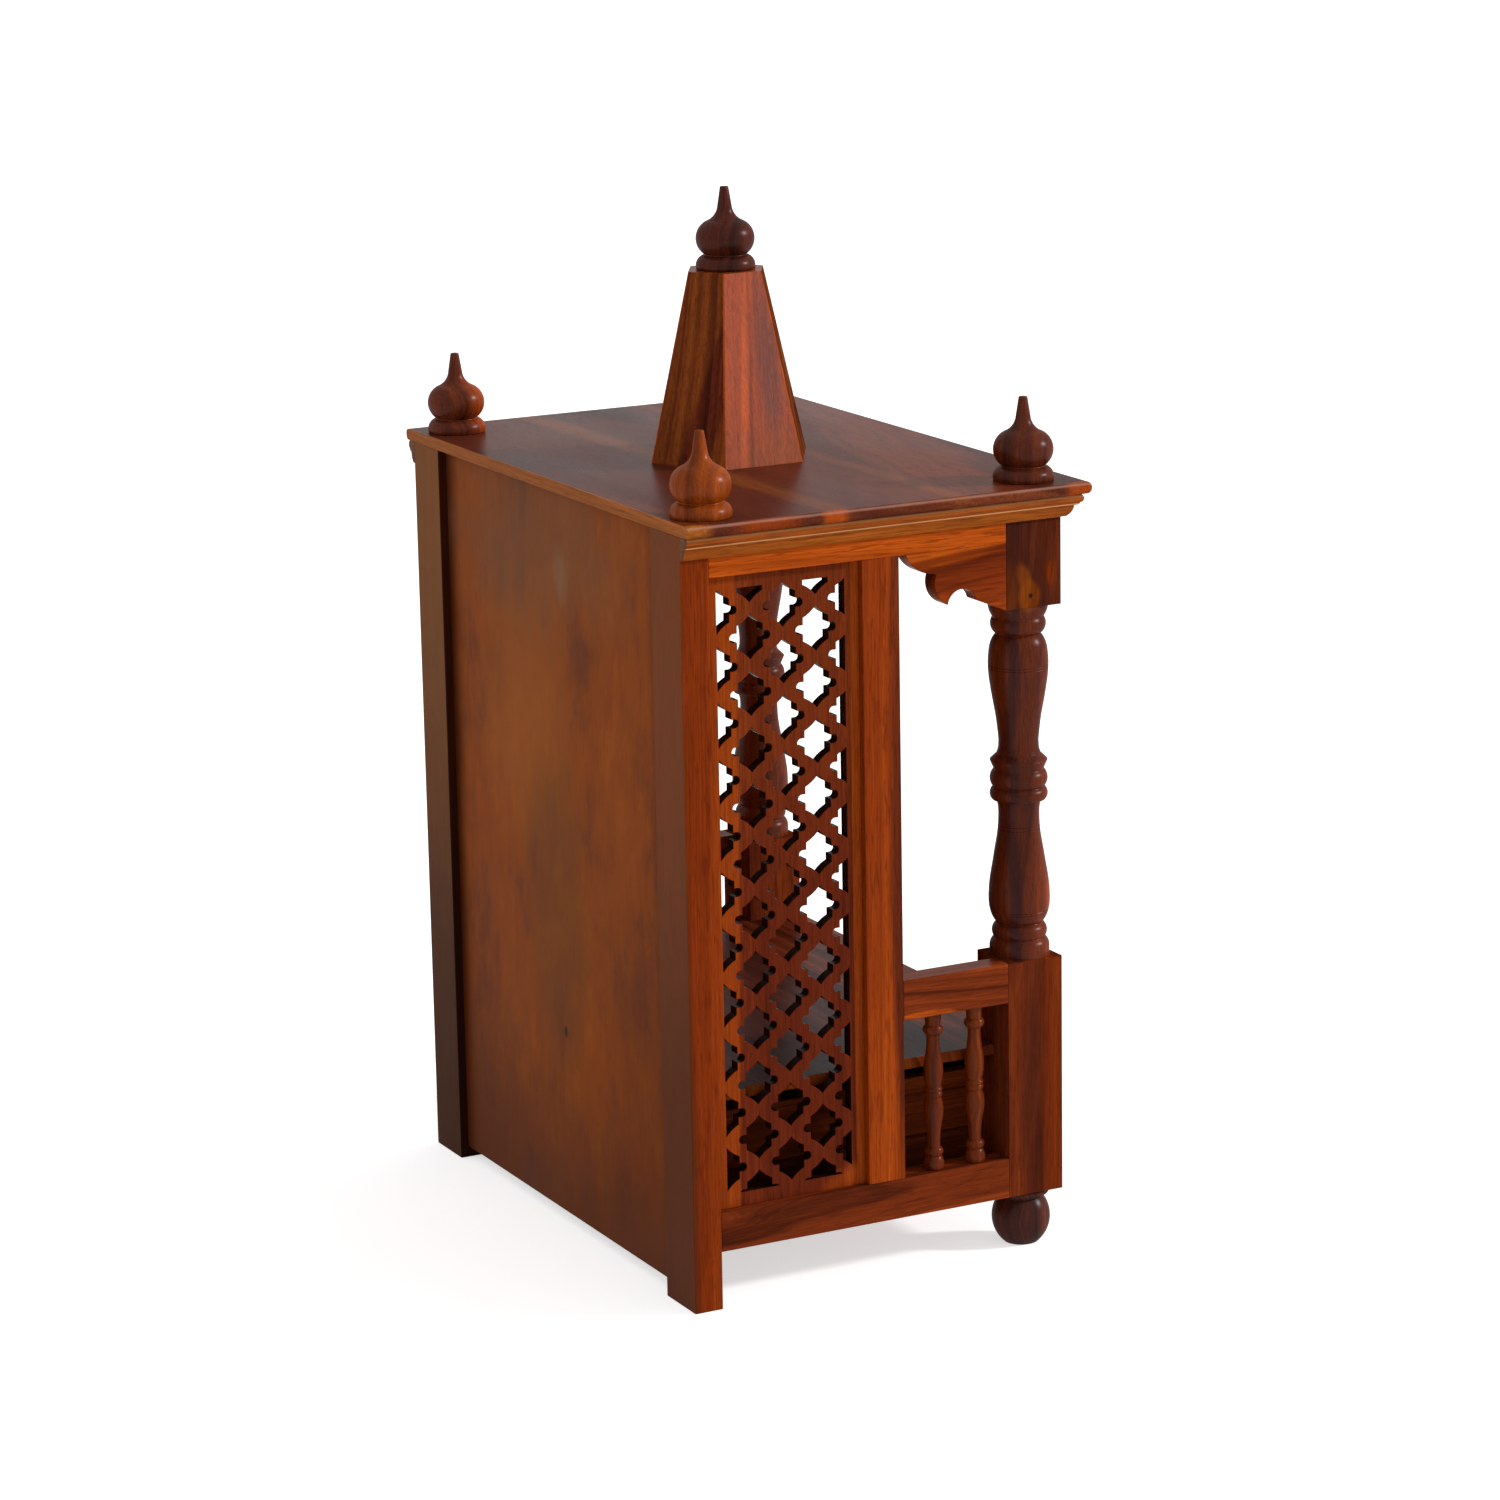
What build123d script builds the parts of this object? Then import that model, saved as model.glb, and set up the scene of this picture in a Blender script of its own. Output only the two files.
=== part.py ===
from build123d import *
from math import atan, ceil, cos, degrees, pi
import os

os.makedirs("parts", exist_ok=True)

# Pooja mandir: a small wooden home temple with two turned front posts, pierced side panels,
# short turned railings, a platform over a drawer, a moulded top board and a six-sided spire.
# Lengths are in millimetres. The front faces -Y, up is +Z, and the origin is on the floor
# under the middle of the top board.

# Body, from outer face to outer face of the posts, and its levels above the floor
width = 579.5
depth = 388.4
board_top = 730.0
board_thick = 11.0
board_side_over = 18.4
board_front_over = 25.0
board_edge_round = 5.0
board_corner_round = 6.0
frieze_low = 679.1
bracket_low = 616.4
rail_height = 38.1
upper_rail_low = 244.5
bottom_rail_low = 54.8
platform_top = 199.0
platform_thick = 10.3

# Stock
rail_thick = 25.0
front_post_size = 57.7
rear_post_width = 58.4
rear_post_depth = 28.3
mid_post_width = 38.0
mid_post_forward = 21.1
panel_thick = 9.0
back_panel_set_in = 8.0
back_panel_low = 11.5
floor_panel_top = 81.0

# Pierced side panel
lattice_thick = 12.0
lattice_set_in = 7.0
lattice_rear_margin = 10.2
lattice_front_margin = 14.3
lattice_end_margin = 13.0
hole_pitch_y = 33.1
hole_pitch_z = 51.7
hole_rise = 2.3
hole_half_width = 20.3
hole_half_height = 20.7
hole_shoulder = 12.8
hole_shoulder_height = 10.8
hole_lobe_radius = 4.1

# Turned pieces
post_turn_radius = 28.3
baluster_radius = 9.5
foot_radius = 27.6
finial_height = 77.0
finial_radius = 28.2
finial_side_in = 26.0
finial_rear_in = 35.0
finial_front_in = 24.0

# Spire
spire_y = 8.4
spire_base_radius = 82.0
spire_top_radius = 39.4
spire_height = 176.6
spire_wall = 9.0
spire_cap_thick = 8.0

# Brackets under the frieze, short of the mid posts by a clearance
bracket_clearance = 7.0
bracket_thick = 18.5

# Drawer
drawer_reveal = 5.0
drawer_front_thick = 18.0
drawer_box_in = 3.3
drawer_side_low = 108.0
drawer_side_height = 57.0
drawer_board = 12.0
drawer_base_rise = 6.0
drawer_base_thick = 6.0
drawer_rear_gap = 49.4
runner_width = 25.0
runner_gap = 0.3
knob_radius = 14.0
knob_length = 22.0

# Places worked out from the sizes above
half_width = width / 2
rear_y = (depth + board_front_over) / 2
front_y = rear_y - depth
board_low = board_top - board_thick
board_half_width = half_width + board_side_over
board_front_y = front_y - board_front_over
rail_in_x = half_width - rail_thick
rear_post_in_x = half_width - rear_post_width
rear_post_front_y = rear_y - rear_post_depth
front_post_in_x = half_width - front_post_size
front_post_rear_y = front_y + front_post_size
front_post_x = half_width - front_post_size / 2
front_post_y = front_y + front_post_size / 2
mid_post_y = (rear_post_front_y + front_post_rear_y) / 2 - mid_post_forward
mid_post_front_y = mid_post_y - mid_post_width / 2
mid_post_rear_y = mid_post_y + mid_post_width / 2
bay_length = mid_post_front_y - front_post_rear_y
bracket_length = bay_length - bracket_clearance
bottom_rail_top = bottom_rail_low + rail_height
upper_rail_top = upper_rail_low + rail_height
back_panel_y = rear_y - back_panel_set_in - panel_thick
platform_low = platform_top - platform_thick
spire_low = board_top
spire_top = spire_low + spire_height

sides = {"left": -1, "right": 1}

# Top board, with rounded front and side edges and a square rear edge
with BuildPart() as top_board:
    with BuildSketch(Plane.XY.offset(board_low)):
        Rectangle(2 * board_half_width, rear_y - board_front_y)
    extrude(amount=board_thick)
    fillet(top_board.edges().filter_by(Axis.Z).group_by(Axis.Y)[0], board_corner_round)
    rounded = top_board.faces().filter_by(Axis.Z).edges().filter_by(
        lambda edge: edge.center().Y < rear_y - board_edge_round / 2
    )
    fillet(rounded, board_edge_round)
top_board.part.label = "top_board"
export_step(top_board.part, "parts/top_board.step")

# Moulding under the board: a half-round bead, a small step and a sloping cove. It is drawn as
# shares of the board's overhang and of the moulding's height, from the board down.
moulding_height = 21.0
moulding_reach = 0.7


def moulding_line(place):
    Polyline(place(0, 1), place(0, 0), place(0.57, 0))
    ThreePointArc(place(0.57, 0), place(moulding_reach, 0.2), place(0.57, 0.39))
    Polyline(place(0.57, 0.39), place(0.57, 0.44), place(0.52, 0.48), place(0.4, 0.52))
    ThreePointArc(place(0.4, 0.52), place(0.36, 0.72), place(0.22, 0.94))
    Polyline(place(0.22, 0.94), place(0.17, 1), place(0, 1))


for side, turn in sides.items():

    def side_place(share, drop):
        return (turn * (half_width + share * board_side_over), board_low - drop * moulding_height)

    with BuildPart() as moulding_side:
        with BuildSketch(Plane.XZ.offset(-rear_y)):
            with BuildLine():
                moulding_line(side_place)
            make_face()
        extrude(amount=depth + moulding_reach * board_front_over)
        with BuildSketch(Plane.XY.offset(board_low - moulding_height)):
            with BuildLine():
                Polyline(
                    (turn * half_width, front_y),
                    (turn * board_half_width, board_front_y),
                    (turn * half_width, board_front_y),
                    close=True,
                )
            make_face()
        extrude(amount=moulding_height, mode=Mode.SUBTRACT)
    moulding_side.part.label = f"moulding_{side}"
    export_step(moulding_side.part, f"parts/moulding_{side}.step")


def front_place(share, drop):
    return (front_y - share * board_front_over, board_low - drop * moulding_height)


with BuildPart() as moulding_front:
    with BuildSketch(Plane.YZ.offset(-board_half_width)):
        with BuildLine():
            moulding_line(front_place)
        make_face()
    extrude(amount=2 * board_half_width)
    for turn in sides.values():
        with BuildSketch(Plane.XY.offset(board_low - moulding_height)):
            with BuildLine():
                Polyline(
                    (turn * half_width, front_y),
                    (turn * board_half_width, board_front_y),
                    (turn * board_half_width, front_y),
                    close=True,
                )
            make_face()
        extrude(amount=moulding_height, mode=Mode.SUBTRACT)
moulding_front.part.label = "moulding_front"
export_step(moulding_front.part, "parts/moulding_front.step")

# Rear posts, flat boards on edge that stand on the floor
for side, turn in sides.items():
    with BuildPart() as rear_post:
        with BuildSketch():
            with Locations((turn * (half_width + rear_post_in_x) / 2, rear_y - rear_post_depth / 2)):
                Rectangle(rear_post_width, rear_post_depth)
        extrude(amount=board_low)
    rear_post.part.label = f"rear_post_{side}"
    export_step(rear_post.part, f"parts/rear_post_{side}.step")

# Front posts: a square block below, a turned double vase, and a square block above.
# Each point is a share of the largest turned radius and a share of the turned length.
turned_length = bracket_low - upper_rail_top


def turned(radius_share, rise):
    return (post_turn_radius * radius_share, upper_rail_top + turned_length * rise)


for side, turn in sides.items():
    with BuildPart() as front_post:
        with BuildSketch(Plane.XY.offset(bottom_rail_low)):
            with Locations((turn * front_post_x, front_post_y)):
                Rectangle(front_post_size, front_post_size)
        extrude(amount=upper_rail_top - bottom_rail_low)
        with BuildSketch(Plane.XY.offset(bracket_low)):
            with Locations((turn * front_post_x, front_post_y)):
                Rectangle(front_post_size, front_post_size)
        extrude(amount=board_low - bracket_low)
        with BuildSketch(Plane((turn * front_post_x, front_post_y, 0), x_dir=(1, 0, 0), z_dir=(0, -1, 0))):
            with BuildLine():
                Polyline((0, upper_rail_top), turned(0.99, 0.0), turned(0.99, 0.022))
                ThreePointArc(turned(0.99, 0.022), turned(0.95, 0.038), turned(0.84, 0.05))
                ThreePointArc(turned(0.84, 0.05), turned(0.91, 0.071), turned(0.76, 0.092))
                Spline(
                    turned(0.76, 0.092), turned(0.93, 0.116), turned(1.0, 0.142), turned(1.01, 0.172),
                    turned(0.97, 0.215), turned(0.88, 0.262), turned(0.79, 0.309), turned(0.71, 0.35),
                    turned(0.675, 0.39), turned(0.68, 0.42), turned(0.73, 0.441),
                )
                Polyline(turned(0.73, 0.441), turned(0.88, 0.445))
                ThreePointArc(turned(0.88, 0.445), turned(0.95, 0.458), turned(0.84, 0.481))
                ThreePointArc(turned(0.84, 0.481), turned(0.95, 0.506), turned(0.82, 0.531))
                Polyline(turned(0.82, 0.531), turned(0.95, 0.557), turned(0.73, 0.575))
                Spline(
                    turned(0.73, 0.575), turned(0.66, 0.598), turned(0.675, 0.632), turned(0.73, 0.672),
                    turned(0.82, 0.716), turned(0.91, 0.76), turned(0.975, 0.803), turned(0.99, 0.832),
                    turned(0.97, 0.861), turned(0.89, 0.893), turned(0.73, 0.914),
                )
                ThreePointArc(turned(0.73, 0.914), turned(0.91, 0.94), turned(0.84, 0.962))
                ThreePointArc(turned(0.84, 0.962), turned(0.94, 0.978), turned(0.99, 1.0))
                Polyline(turned(0.99, 1.0), (0, bracket_low))
                Polyline((0, bracket_low), (0, upper_rail_top))
            make_face()
        revolve(axis=Axis((turn * front_post_x, front_post_y, 0), (0, 0, 1)))
    front_post.part.label = f"front_post_{side}"
    export_step(front_post.part, f"parts/front_post_{side}.step")

# Bun feet under the front posts
with BuildPart() as bun_feet:
    for turn in sides.values():
        with BuildSketch(Plane((turn * front_post_x, front_post_y, 0), x_dir=(1, 0, 0), z_dir=(0, -1, 0))):
            with BuildLine():
                Polyline((0, 0), (0.58 * foot_radius, 0))
                ThreePointArc(
                    (0.58 * foot_radius, 0),
                    (foot_radius, 0.47 * bottom_rail_low),
                    (0.74 * foot_radius, 0.83 * bottom_rail_low),
                )
                Polyline(
                    (0.74 * foot_radius, 0.83 * bottom_rail_low),
                    (0.74 * foot_radius, 0.88 * bottom_rail_low),
                )
                ThreePointArc(
                    (0.74 * foot_radius, 0.88 * bottom_rail_low),
                    (0.97 * foot_radius, 0.94 * bottom_rail_low),
                    (0.9 * foot_radius, bottom_rail_low),
                )
                Polyline((0.9 * foot_radius, bottom_rail_low), (0, bottom_rail_low), (0, 0))
            make_face()
        revolve(axis=Axis((turn * front_post_x, front_post_y, 0), (0, 0, 1)))
bun_feet.part.label = "bun_feet"
export_step(bun_feet.part, "parts/bun_feet.step")

# Side frame: frieze rail, mid post, bottom rail and the short upper rail over the balusters
for side, turn in sides.items():
    rail_x = turn * (half_width - rail_thick / 2)

    with BuildPart() as frieze:
        with BuildSketch(Plane.XY.offset(frieze_low)):
            with Locations((rail_x, (rear_post_front_y + front_post_rear_y) / 2)):
                Rectangle(rail_thick, rear_post_front_y - front_post_rear_y)
        extrude(amount=board_low - frieze_low)
    frieze.part.label = f"frieze_{side}"
    export_step(frieze.part, f"parts/frieze_{side}.step")

    with BuildPart() as bottom_rail:
        with BuildSketch(Plane.XY.offset(bottom_rail_low)):
            with Locations((rail_x, (rear_post_front_y + front_post_rear_y) / 2)):
                Rectangle(rail_thick, rear_post_front_y - front_post_rear_y)
        extrude(amount=rail_height)
    bottom_rail.part.label = f"bottom_rail_{side}"
    export_step(bottom_rail.part, f"parts/bottom_rail_{side}.step")

    with BuildPart() as upper_rail:
        with BuildSketch(Plane.XY.offset(upper_rail_low)):
            with Locations((rail_x, (mid_post_front_y + front_post_rear_y) / 2)):
                Rectangle(rail_thick, mid_post_front_y - front_post_rear_y)
        extrude(amount=rail_height)
    upper_rail.part.label = f"upper_rail_{side}"
    export_step(upper_rail.part, f"parts/upper_rail_{side}.step")

    with BuildPart() as mid_post:
        with BuildSketch(Plane.XY.offset(bottom_rail_top)):
            with Locations((rail_x, mid_post_y)):
                Rectangle(rail_thick, mid_post_width)
        extrude(amount=frieze_low - bottom_rail_top)
    mid_post.part.label = f"mid_post_{side}"
    export_step(mid_post.part, f"parts/mid_post_{side}.step")

# Front rails between the posts
with BuildPart() as frieze_front:
    with BuildSketch(Plane.XY.offset(frieze_low)):
        with Locations((0, front_y + rail_thick / 2)):
            Rectangle(2 * front_post_in_x, rail_thick)
    extrude(amount=board_low - frieze_low)
frieze_front.part.label = "frieze_front"
export_step(frieze_front.part, "parts/frieze_front.step")

with BuildPart() as bottom_rail_front:
    with BuildSketch(Plane.XY.offset(bottom_rail_low)):
        with Locations((0, front_y + rail_thick / 2)):
            Rectangle(2 * front_post_in_x, rail_thick)
    extrude(amount=rail_height)
bottom_rail_front.part.label = "bottom_rail_front"
export_step(bottom_rail_front.part, "parts/bottom_rail_front.step")

# Pierced side panels: staggered rows of holes with pointed ends and round side lobes.
# The outer holes are cut off along a straight border.
lattice_y = (rear_post_front_y + mid_post_rear_y) / 2
lattice_z = (bottom_rail_top + frieze_low) / 2
lattice_width = rear_post_front_y - mid_post_rear_y
lattice_height = frieze_low - bottom_rail_top
pierced_width = lattice_width - lattice_rear_margin - lattice_front_margin
pierced_height = lattice_height - 2 * lattice_end_margin
pierced_rear_y = rear_post_front_y - lattice_rear_margin
hole_columns = ceil(pierced_width / hole_pitch_y) + 1
hole_rows = ceil(pierced_height / hole_pitch_z / 2) + 1
hole_places = []
for column in range(hole_columns):
    shift = (column % 2) * hole_pitch_z / 2
    for row in range(-hole_rows, hole_rows):
        hole_z = lattice_z + hole_rise + row * hole_pitch_z + shift
        hole_places.append((pierced_rear_y - column * hole_pitch_y, hole_z))
lobe_reach = hole_half_width - hole_lobe_radius
with BuildSketch() as hole:
    with BuildLine():
        for turn in sides.values():
            for way in (1, -1):
                ThreePointArc(
                    (0, way * hole_half_height),
                    (0.45 * turn * hole_shoulder, way * (0.6 * hole_half_height + 0.24 * hole_shoulder_height)),
                    (turn * hole_shoulder, way * hole_shoulder_height),
                )
                Polyline(
                    (turn * hole_shoulder, way * hole_shoulder_height),
                    (turn * hole_shoulder, way * hole_lobe_radius),
                    (turn * lobe_reach, way * hole_lobe_radius),
                )
            ThreePointArc(
                (turn * lobe_reach, hole_lobe_radius),
                (turn * hole_half_width, 0),
                (turn * lobe_reach, -hole_lobe_radius),
            )
    make_face()
for side, turn in sides.items():
    outer_x = turn * (half_width - lattice_set_in)
    with BuildPart() as lattice:
        with BuildSketch(Plane.YZ.offset(outer_x)):
            with Locations((lattice_y, lattice_z)):
                Rectangle(lattice_width, lattice_height)
        extrude(amount=-turn * lattice_thick)
        with BuildSketch(Plane.YZ.offset(outer_x)):
            with Locations(*hole_places):
                add(hole.sketch)
            with Locations((pierced_rear_y - pierced_width / 2, lattice_z)):
                Rectangle(pierced_width, pierced_height, mode=Mode.INTERSECT)
        extrude(amount=-turn * lattice_thick, mode=Mode.SUBTRACT)
    lattice.part.label = f"lattice_{side}"
    export_step(lattice.part, f"parts/lattice_{side}.step")

# Balusters on the bottom rail, two on each side
baluster_height = upper_rail_low - bottom_rail_top
baluster_shares = (0.335, 0.73)


def bead(radius_share, rise):
    return (baluster_radius * radius_share, bottom_rail_top + baluster_height * rise)


for side, turn in sides.items():
    with BuildPart() as balusters:
        for share in baluster_shares:
            foot_y = mid_post_front_y - share * bay_length
            foot_x = turn * (half_width - rail_thick / 2)
            with BuildSketch(Plane((foot_x, foot_y, 0), x_dir=(1, 0, 0), z_dir=(0, -1, 0))):
                with BuildLine():
                    Polyline((0, bottom_rail_top), bead(0.94, 0.0))
                    ThreePointArc(bead(0.94, 0.0), bead(0.99, 0.045), bead(0.74, 0.085))
                    ThreePointArc(bead(0.74, 0.085), bead(0.92, 0.115), bead(0.62, 0.145))
                    ThreePointArc(bead(0.62, 0.145), bead(0.66, 0.225), bead(0.85, 0.31))
                    ThreePointArc(bead(0.85, 0.31), bead(0.95, 0.4), bead(0.74, 0.462))
                    ThreePointArc(bead(0.74, 0.462), bead(0.88, 0.48), bead(0.78, 0.497))
                    ThreePointArc(bead(0.78, 0.497), bead(0.88, 0.512), bead(0.74, 0.528))
                    ThreePointArc(bead(0.74, 0.528), bead(0.96, 0.62), bead(0.81, 0.715))
                    ThreePointArc(bead(0.81, 0.715), bead(0.66, 0.79), bead(0.64, 0.858))
                    ThreePointArc(bead(0.64, 0.858), bead(1.0, 0.89), bead(0.74, 0.922))
                    Polyline(bead(0.74, 0.922), bead(0.86, 1.0), (0, upper_rail_low), (0, bottom_rail_top))
                make_face()
            revolve(axis=Axis((foot_x, foot_y, 0), (0, 0, 1)))
    balusters.part.label = f"balusters_{side}"
    export_step(balusters.part, f"parts/balusters_{side}.step")

# Scalloped brackets between the frieze and the front posts. The outline starts at the post,
# and is drawn as shares of the bracket's length along the frieze and of its drop.
bracket_drop = frieze_low - bracket_low


def scallop_line(direction, start):
    def place(reach, fall):
        return (start + direction * bracket_length * reach, frieze_low - bracket_drop * fall)

    Polyline(place(0, 1), place(0, 0), place(1, 0))
    ThreePointArc(place(1, 0), place(0.91, 0.21), place(0.76, 0.32))
    Polyline(place(0.76, 0.32), place(0.7, 0.34))
    ThreePointArc(place(0.7, 0.34), place(0.7, 0.62), place(0.585, 0.81))
    ThreePointArc(place(0.585, 0.81), place(0.44, 0.6), place(0.31, 0.74))
    Polyline(place(0.31, 0.74), place(0.3, 0.79))
    ThreePointArc(place(0.3, 0.79), place(0.17, 0.88), place(0, 1))


for side, turn in sides.items():
    with BuildPart() as bracket_side:
        with BuildSketch(Plane.YZ.offset(turn * half_width)):
            with BuildLine():
                scallop_line(1, front_post_rear_y)
            make_face()
        extrude(amount=-turn * bracket_thick)
    bracket_side.part.label = f"bracket_side_{side}"
    export_step(bracket_side.part, f"parts/bracket_side_{side}.step")

    with BuildPart() as bracket_front:
        with BuildSketch(Plane.XZ.offset(-front_y)):
            with BuildLine():
                scallop_line(-turn, turn * front_post_in_x)
            make_face()
        extrude(amount=-bracket_thick)
    bracket_front.part.label = f"bracket_front_{side}"
    export_step(bracket_front.part, f"parts/bracket_front_{side}.step")

# Back panel between the rear posts
with BuildPart() as back_panel:
    with BuildSketch(Plane.XY.offset(back_panel_low)):
        with Locations((0, back_panel_y + panel_thick / 2)):
            Rectangle(2 * rear_post_in_x, panel_thick)
    extrude(amount=board_low - back_panel_low)
back_panel.part.label = "back_panel"
export_step(back_panel.part, "parts/back_panel.step")

# Floor panel inside the bottom rails
with BuildPart() as floor_panel:
    with BuildSketch(Plane.XY.offset(floor_panel_top - panel_thick)):
        with BuildLine():
            Polyline(
                (-rear_post_in_x, back_panel_y),
                (rear_post_in_x, back_panel_y),
                (rear_post_in_x, rear_post_front_y),
                (rail_in_x, rear_post_front_y),
                (rail_in_x, front_post_rear_y),
                (front_post_in_x, front_post_rear_y),
                (front_post_in_x, front_y + rail_thick),
                (-front_post_in_x, front_y + rail_thick),
                (-front_post_in_x, front_post_rear_y),
                (-rail_in_x, front_post_rear_y),
                (-rail_in_x, rear_post_front_y),
                (-rear_post_in_x, rear_post_front_y),
                close=True,
            )
        make_face()
    extrude(amount=panel_thick)
floor_panel.part.label = "floor_panel"
export_step(floor_panel.part, "parts/floor_panel.step")

# Platform, notched round the posts, flush with the front
with BuildPart() as platform:
    with BuildSketch(Plane.XY.offset(platform_low)):
        with BuildLine():
            Polyline(
                (-rear_post_in_x, back_panel_y),
                (rear_post_in_x, back_panel_y),
                (rear_post_in_x, rear_post_front_y),
                (rail_in_x, rear_post_front_y),
                (rail_in_x, front_post_rear_y),
                (front_post_in_x, front_post_rear_y),
                (front_post_in_x, front_y),
                (-front_post_in_x, front_y),
                (-front_post_in_x, front_post_rear_y),
                (-rail_in_x, front_post_rear_y),
                (-rail_in_x, rear_post_front_y),
                (-rear_post_in_x, rear_post_front_y),
                close=True,
            )
        make_face()
    extrude(amount=platform_thick)
platform.part.label = "platform"
export_step(platform.part, "parts/platform.step")

# Drawer under the platform. Its sides slide on two runners that stand on the floor panel.
drawer_half_width = front_post_in_x - drawer_reveal
drawer_box_x = drawer_half_width - drawer_box_in
drawer_front_low = bottom_rail_top + drawer_reveal
drawer_front_high = platform_low - drawer_reveal
drawer_box_front_y = front_y + drawer_front_thick
drawer_box_rear_y = back_panel_y - drawer_rear_gap
drawer_length = drawer_box_rear_y - drawer_box_front_y

with BuildPart() as runners:
    with BuildSketch(Plane.XY.offset(floor_panel_top)):
        for turn in sides.values():
            with Locations(
                (turn * (drawer_box_x - drawer_board / 2), (rear_post_front_y + front_y + rail_thick) / 2)
            ):
                Rectangle(runner_width, rear_post_front_y - front_y - rail_thick)
    extrude(amount=drawer_side_low - runner_gap - floor_panel_top)
runners.part.label = "runners"
export_step(runners.part, "parts/runners.step")

with BuildPart() as drawer_front:
    with BuildSketch(Plane.XY.offset(drawer_front_low)):
        with Locations((0, front_y + drawer_front_thick / 2)):
            Rectangle(2 * drawer_half_width, drawer_front_thick)
    extrude(amount=drawer_front_high - drawer_front_low)
drawer_front.part.label = "drawer_front"
export_step(drawer_front.part, "parts/drawer_front.step")

for side, turn in sides.items():
    with BuildPart() as drawer_side:
        with BuildSketch(Plane.XY.offset(drawer_side_low)):
            with Locations(
                (turn * (drawer_box_x - drawer_board / 2), (drawer_box_front_y + drawer_box_rear_y) / 2)
            ):
                Rectangle(drawer_board, drawer_length)
        extrude(amount=drawer_side_height)
    drawer_side.part.label = f"drawer_side_{side}"
    export_step(drawer_side.part, f"parts/drawer_side_{side}.step")

with BuildPart() as drawer_back:
    with BuildSketch(Plane.XY.offset(drawer_side_low)):
        with Locations((0, drawer_box_rear_y - drawer_board / 2)):
            Rectangle(2 * (drawer_box_x - drawer_board), drawer_board)
    extrude(amount=drawer_side_height)
drawer_back.part.label = "drawer_back"
export_step(drawer_back.part, "parts/drawer_back.step")

with BuildPart() as drawer_base:
    with BuildSketch(Plane.XY.offset(drawer_side_low + drawer_base_rise)):
        with Locations((0, (drawer_box_front_y + drawer_box_rear_y - drawer_board) / 2)):
            Rectangle(2 * (drawer_box_x - drawer_board), drawer_length - drawer_board)
    extrude(amount=drawer_base_thick)
drawer_base.part.label = "drawer_base"
export_step(drawer_base.part, "parts/drawer_base.step")

knob_z = (drawer_front_low + drawer_front_high) / 2
with BuildPart() as drawer_knob:
    with BuildSketch(Plane((0, front_y, knob_z), x_dir=(1, 0, 0), z_dir=(0, 0, 1))):
        with BuildLine():
            Polyline((0, -knob_length), (0, 0), (0.75 * knob_radius, 0))
            ThreePointArc(
                (0.75 * knob_radius, 0),
                (0.5 * knob_radius, -0.2 * knob_length),
                (0.6 * knob_radius, -0.42 * knob_length),
            )
            ThreePointArc(
                (0.6 * knob_radius, -0.42 * knob_length),
                (knob_radius, -0.68 * knob_length),
                (0.6 * knob_radius, -0.94 * knob_length),
            )
            Polyline((0.6 * knob_radius, -0.94 * knob_length), (0, -knob_length))
        make_face()
    revolve(axis=Axis((0, front_y, knob_z), (0, 1, 0)))
drawer_knob.part.label = "drawer_knob"
export_step(drawer_knob.part, "parts/drawer_knob.step")

# Spire: six tapering boards round a hexagon with points to the front and rear. A small
# board closes the top between them.
hexagon_apothem = cos(pi / 6)
spire_taper = degrees(atan((spire_base_radius - spire_top_radius) * hexagon_apothem / spire_height))
spire_wall_plan = spire_wall / hexagon_apothem
cap_radius = spire_top_radius - spire_wall_plan
with BuildPart() as spire_walls:
    with BuildSketch(Plane.XY.offset(spire_low)):
        with Locations((0, spire_y)):
            RegularPolygon(spire_base_radius, 6, rotation=90)
    extrude(amount=spire_height, taper=spire_taper)
    with BuildSketch(Plane.XY.offset(spire_low)):
        with Locations((0, spire_y)):
            RegularPolygon(spire_base_radius - spire_wall_plan, 6, rotation=90)
    extrude(amount=spire_height, taper=spire_taper, mode=Mode.SUBTRACT)
spire_walls.part.label = "spire_walls"
export_step(spire_walls.part, "parts/spire_walls.step")

with BuildPart() as spire_cap:
    with BuildSketch(Plane.XY.offset(spire_top)):
        with Locations((0, spire_y)):
            RegularPolygon(cap_radius, 6, rotation=90)
    extrude(amount=-spire_cap_thick, taper=-spire_taper)
spire_cap.part.label = "spire_cap"
export_step(spire_cap.part, "parts/spire_cap.step")

# Turned finials: one on each corner of the board and one on the spire
finial_places = {
    "spire": (0, spire_y, spire_top),
    "rear_left": (-half_width + finial_side_in, rear_y - finial_rear_in, board_top),
    "rear_right": (half_width - finial_side_in, rear_y - finial_rear_in, board_top),
    "front_left": (-half_width + finial_side_in, front_y + finial_front_in, board_top),
    "front_right": (half_width - finial_side_in, front_y + finial_front_in, board_top),
}


def pot(radius_share, rise):
    return (finial_radius * radius_share, finial_height * rise)


for corner, seat in finial_places.items():
    with BuildPart() as finial:
        with BuildSketch(Plane(seat, x_dir=(1, 0, 0), z_dir=(0, -1, 0))):
            with BuildLine():
                Polyline((0, finial_height), (0, 0), pot(0.97, 0))
                ThreePointArc(pot(0.97, 0), pot(0.98, 0.08), pot(0.76, 0.17))
                ThreePointArc(pot(0.76, 0.17), pot(0.72, 0.183), pot(0.76, 0.196))
                ThreePointArc(pot(0.76, 0.196), pot(0.98, 0.37), pot(0.58, 0.59))
                ThreePointArc(pot(0.58, 0.59), pot(0.34, 0.665), pot(0.24, 0.77))
                Polyline(pot(0.24, 0.77), pot(0.14, 1), (0, finial_height))
            make_face()
        revolve(axis=Axis(seat, (0, 0, 1)))
    finial.part.label = f"finial_{corner}"
    export_step(finial.part, f"parts/finial_{corner}.step")
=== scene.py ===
import math

import bmesh
import bpy
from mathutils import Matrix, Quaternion, Vector


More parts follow.
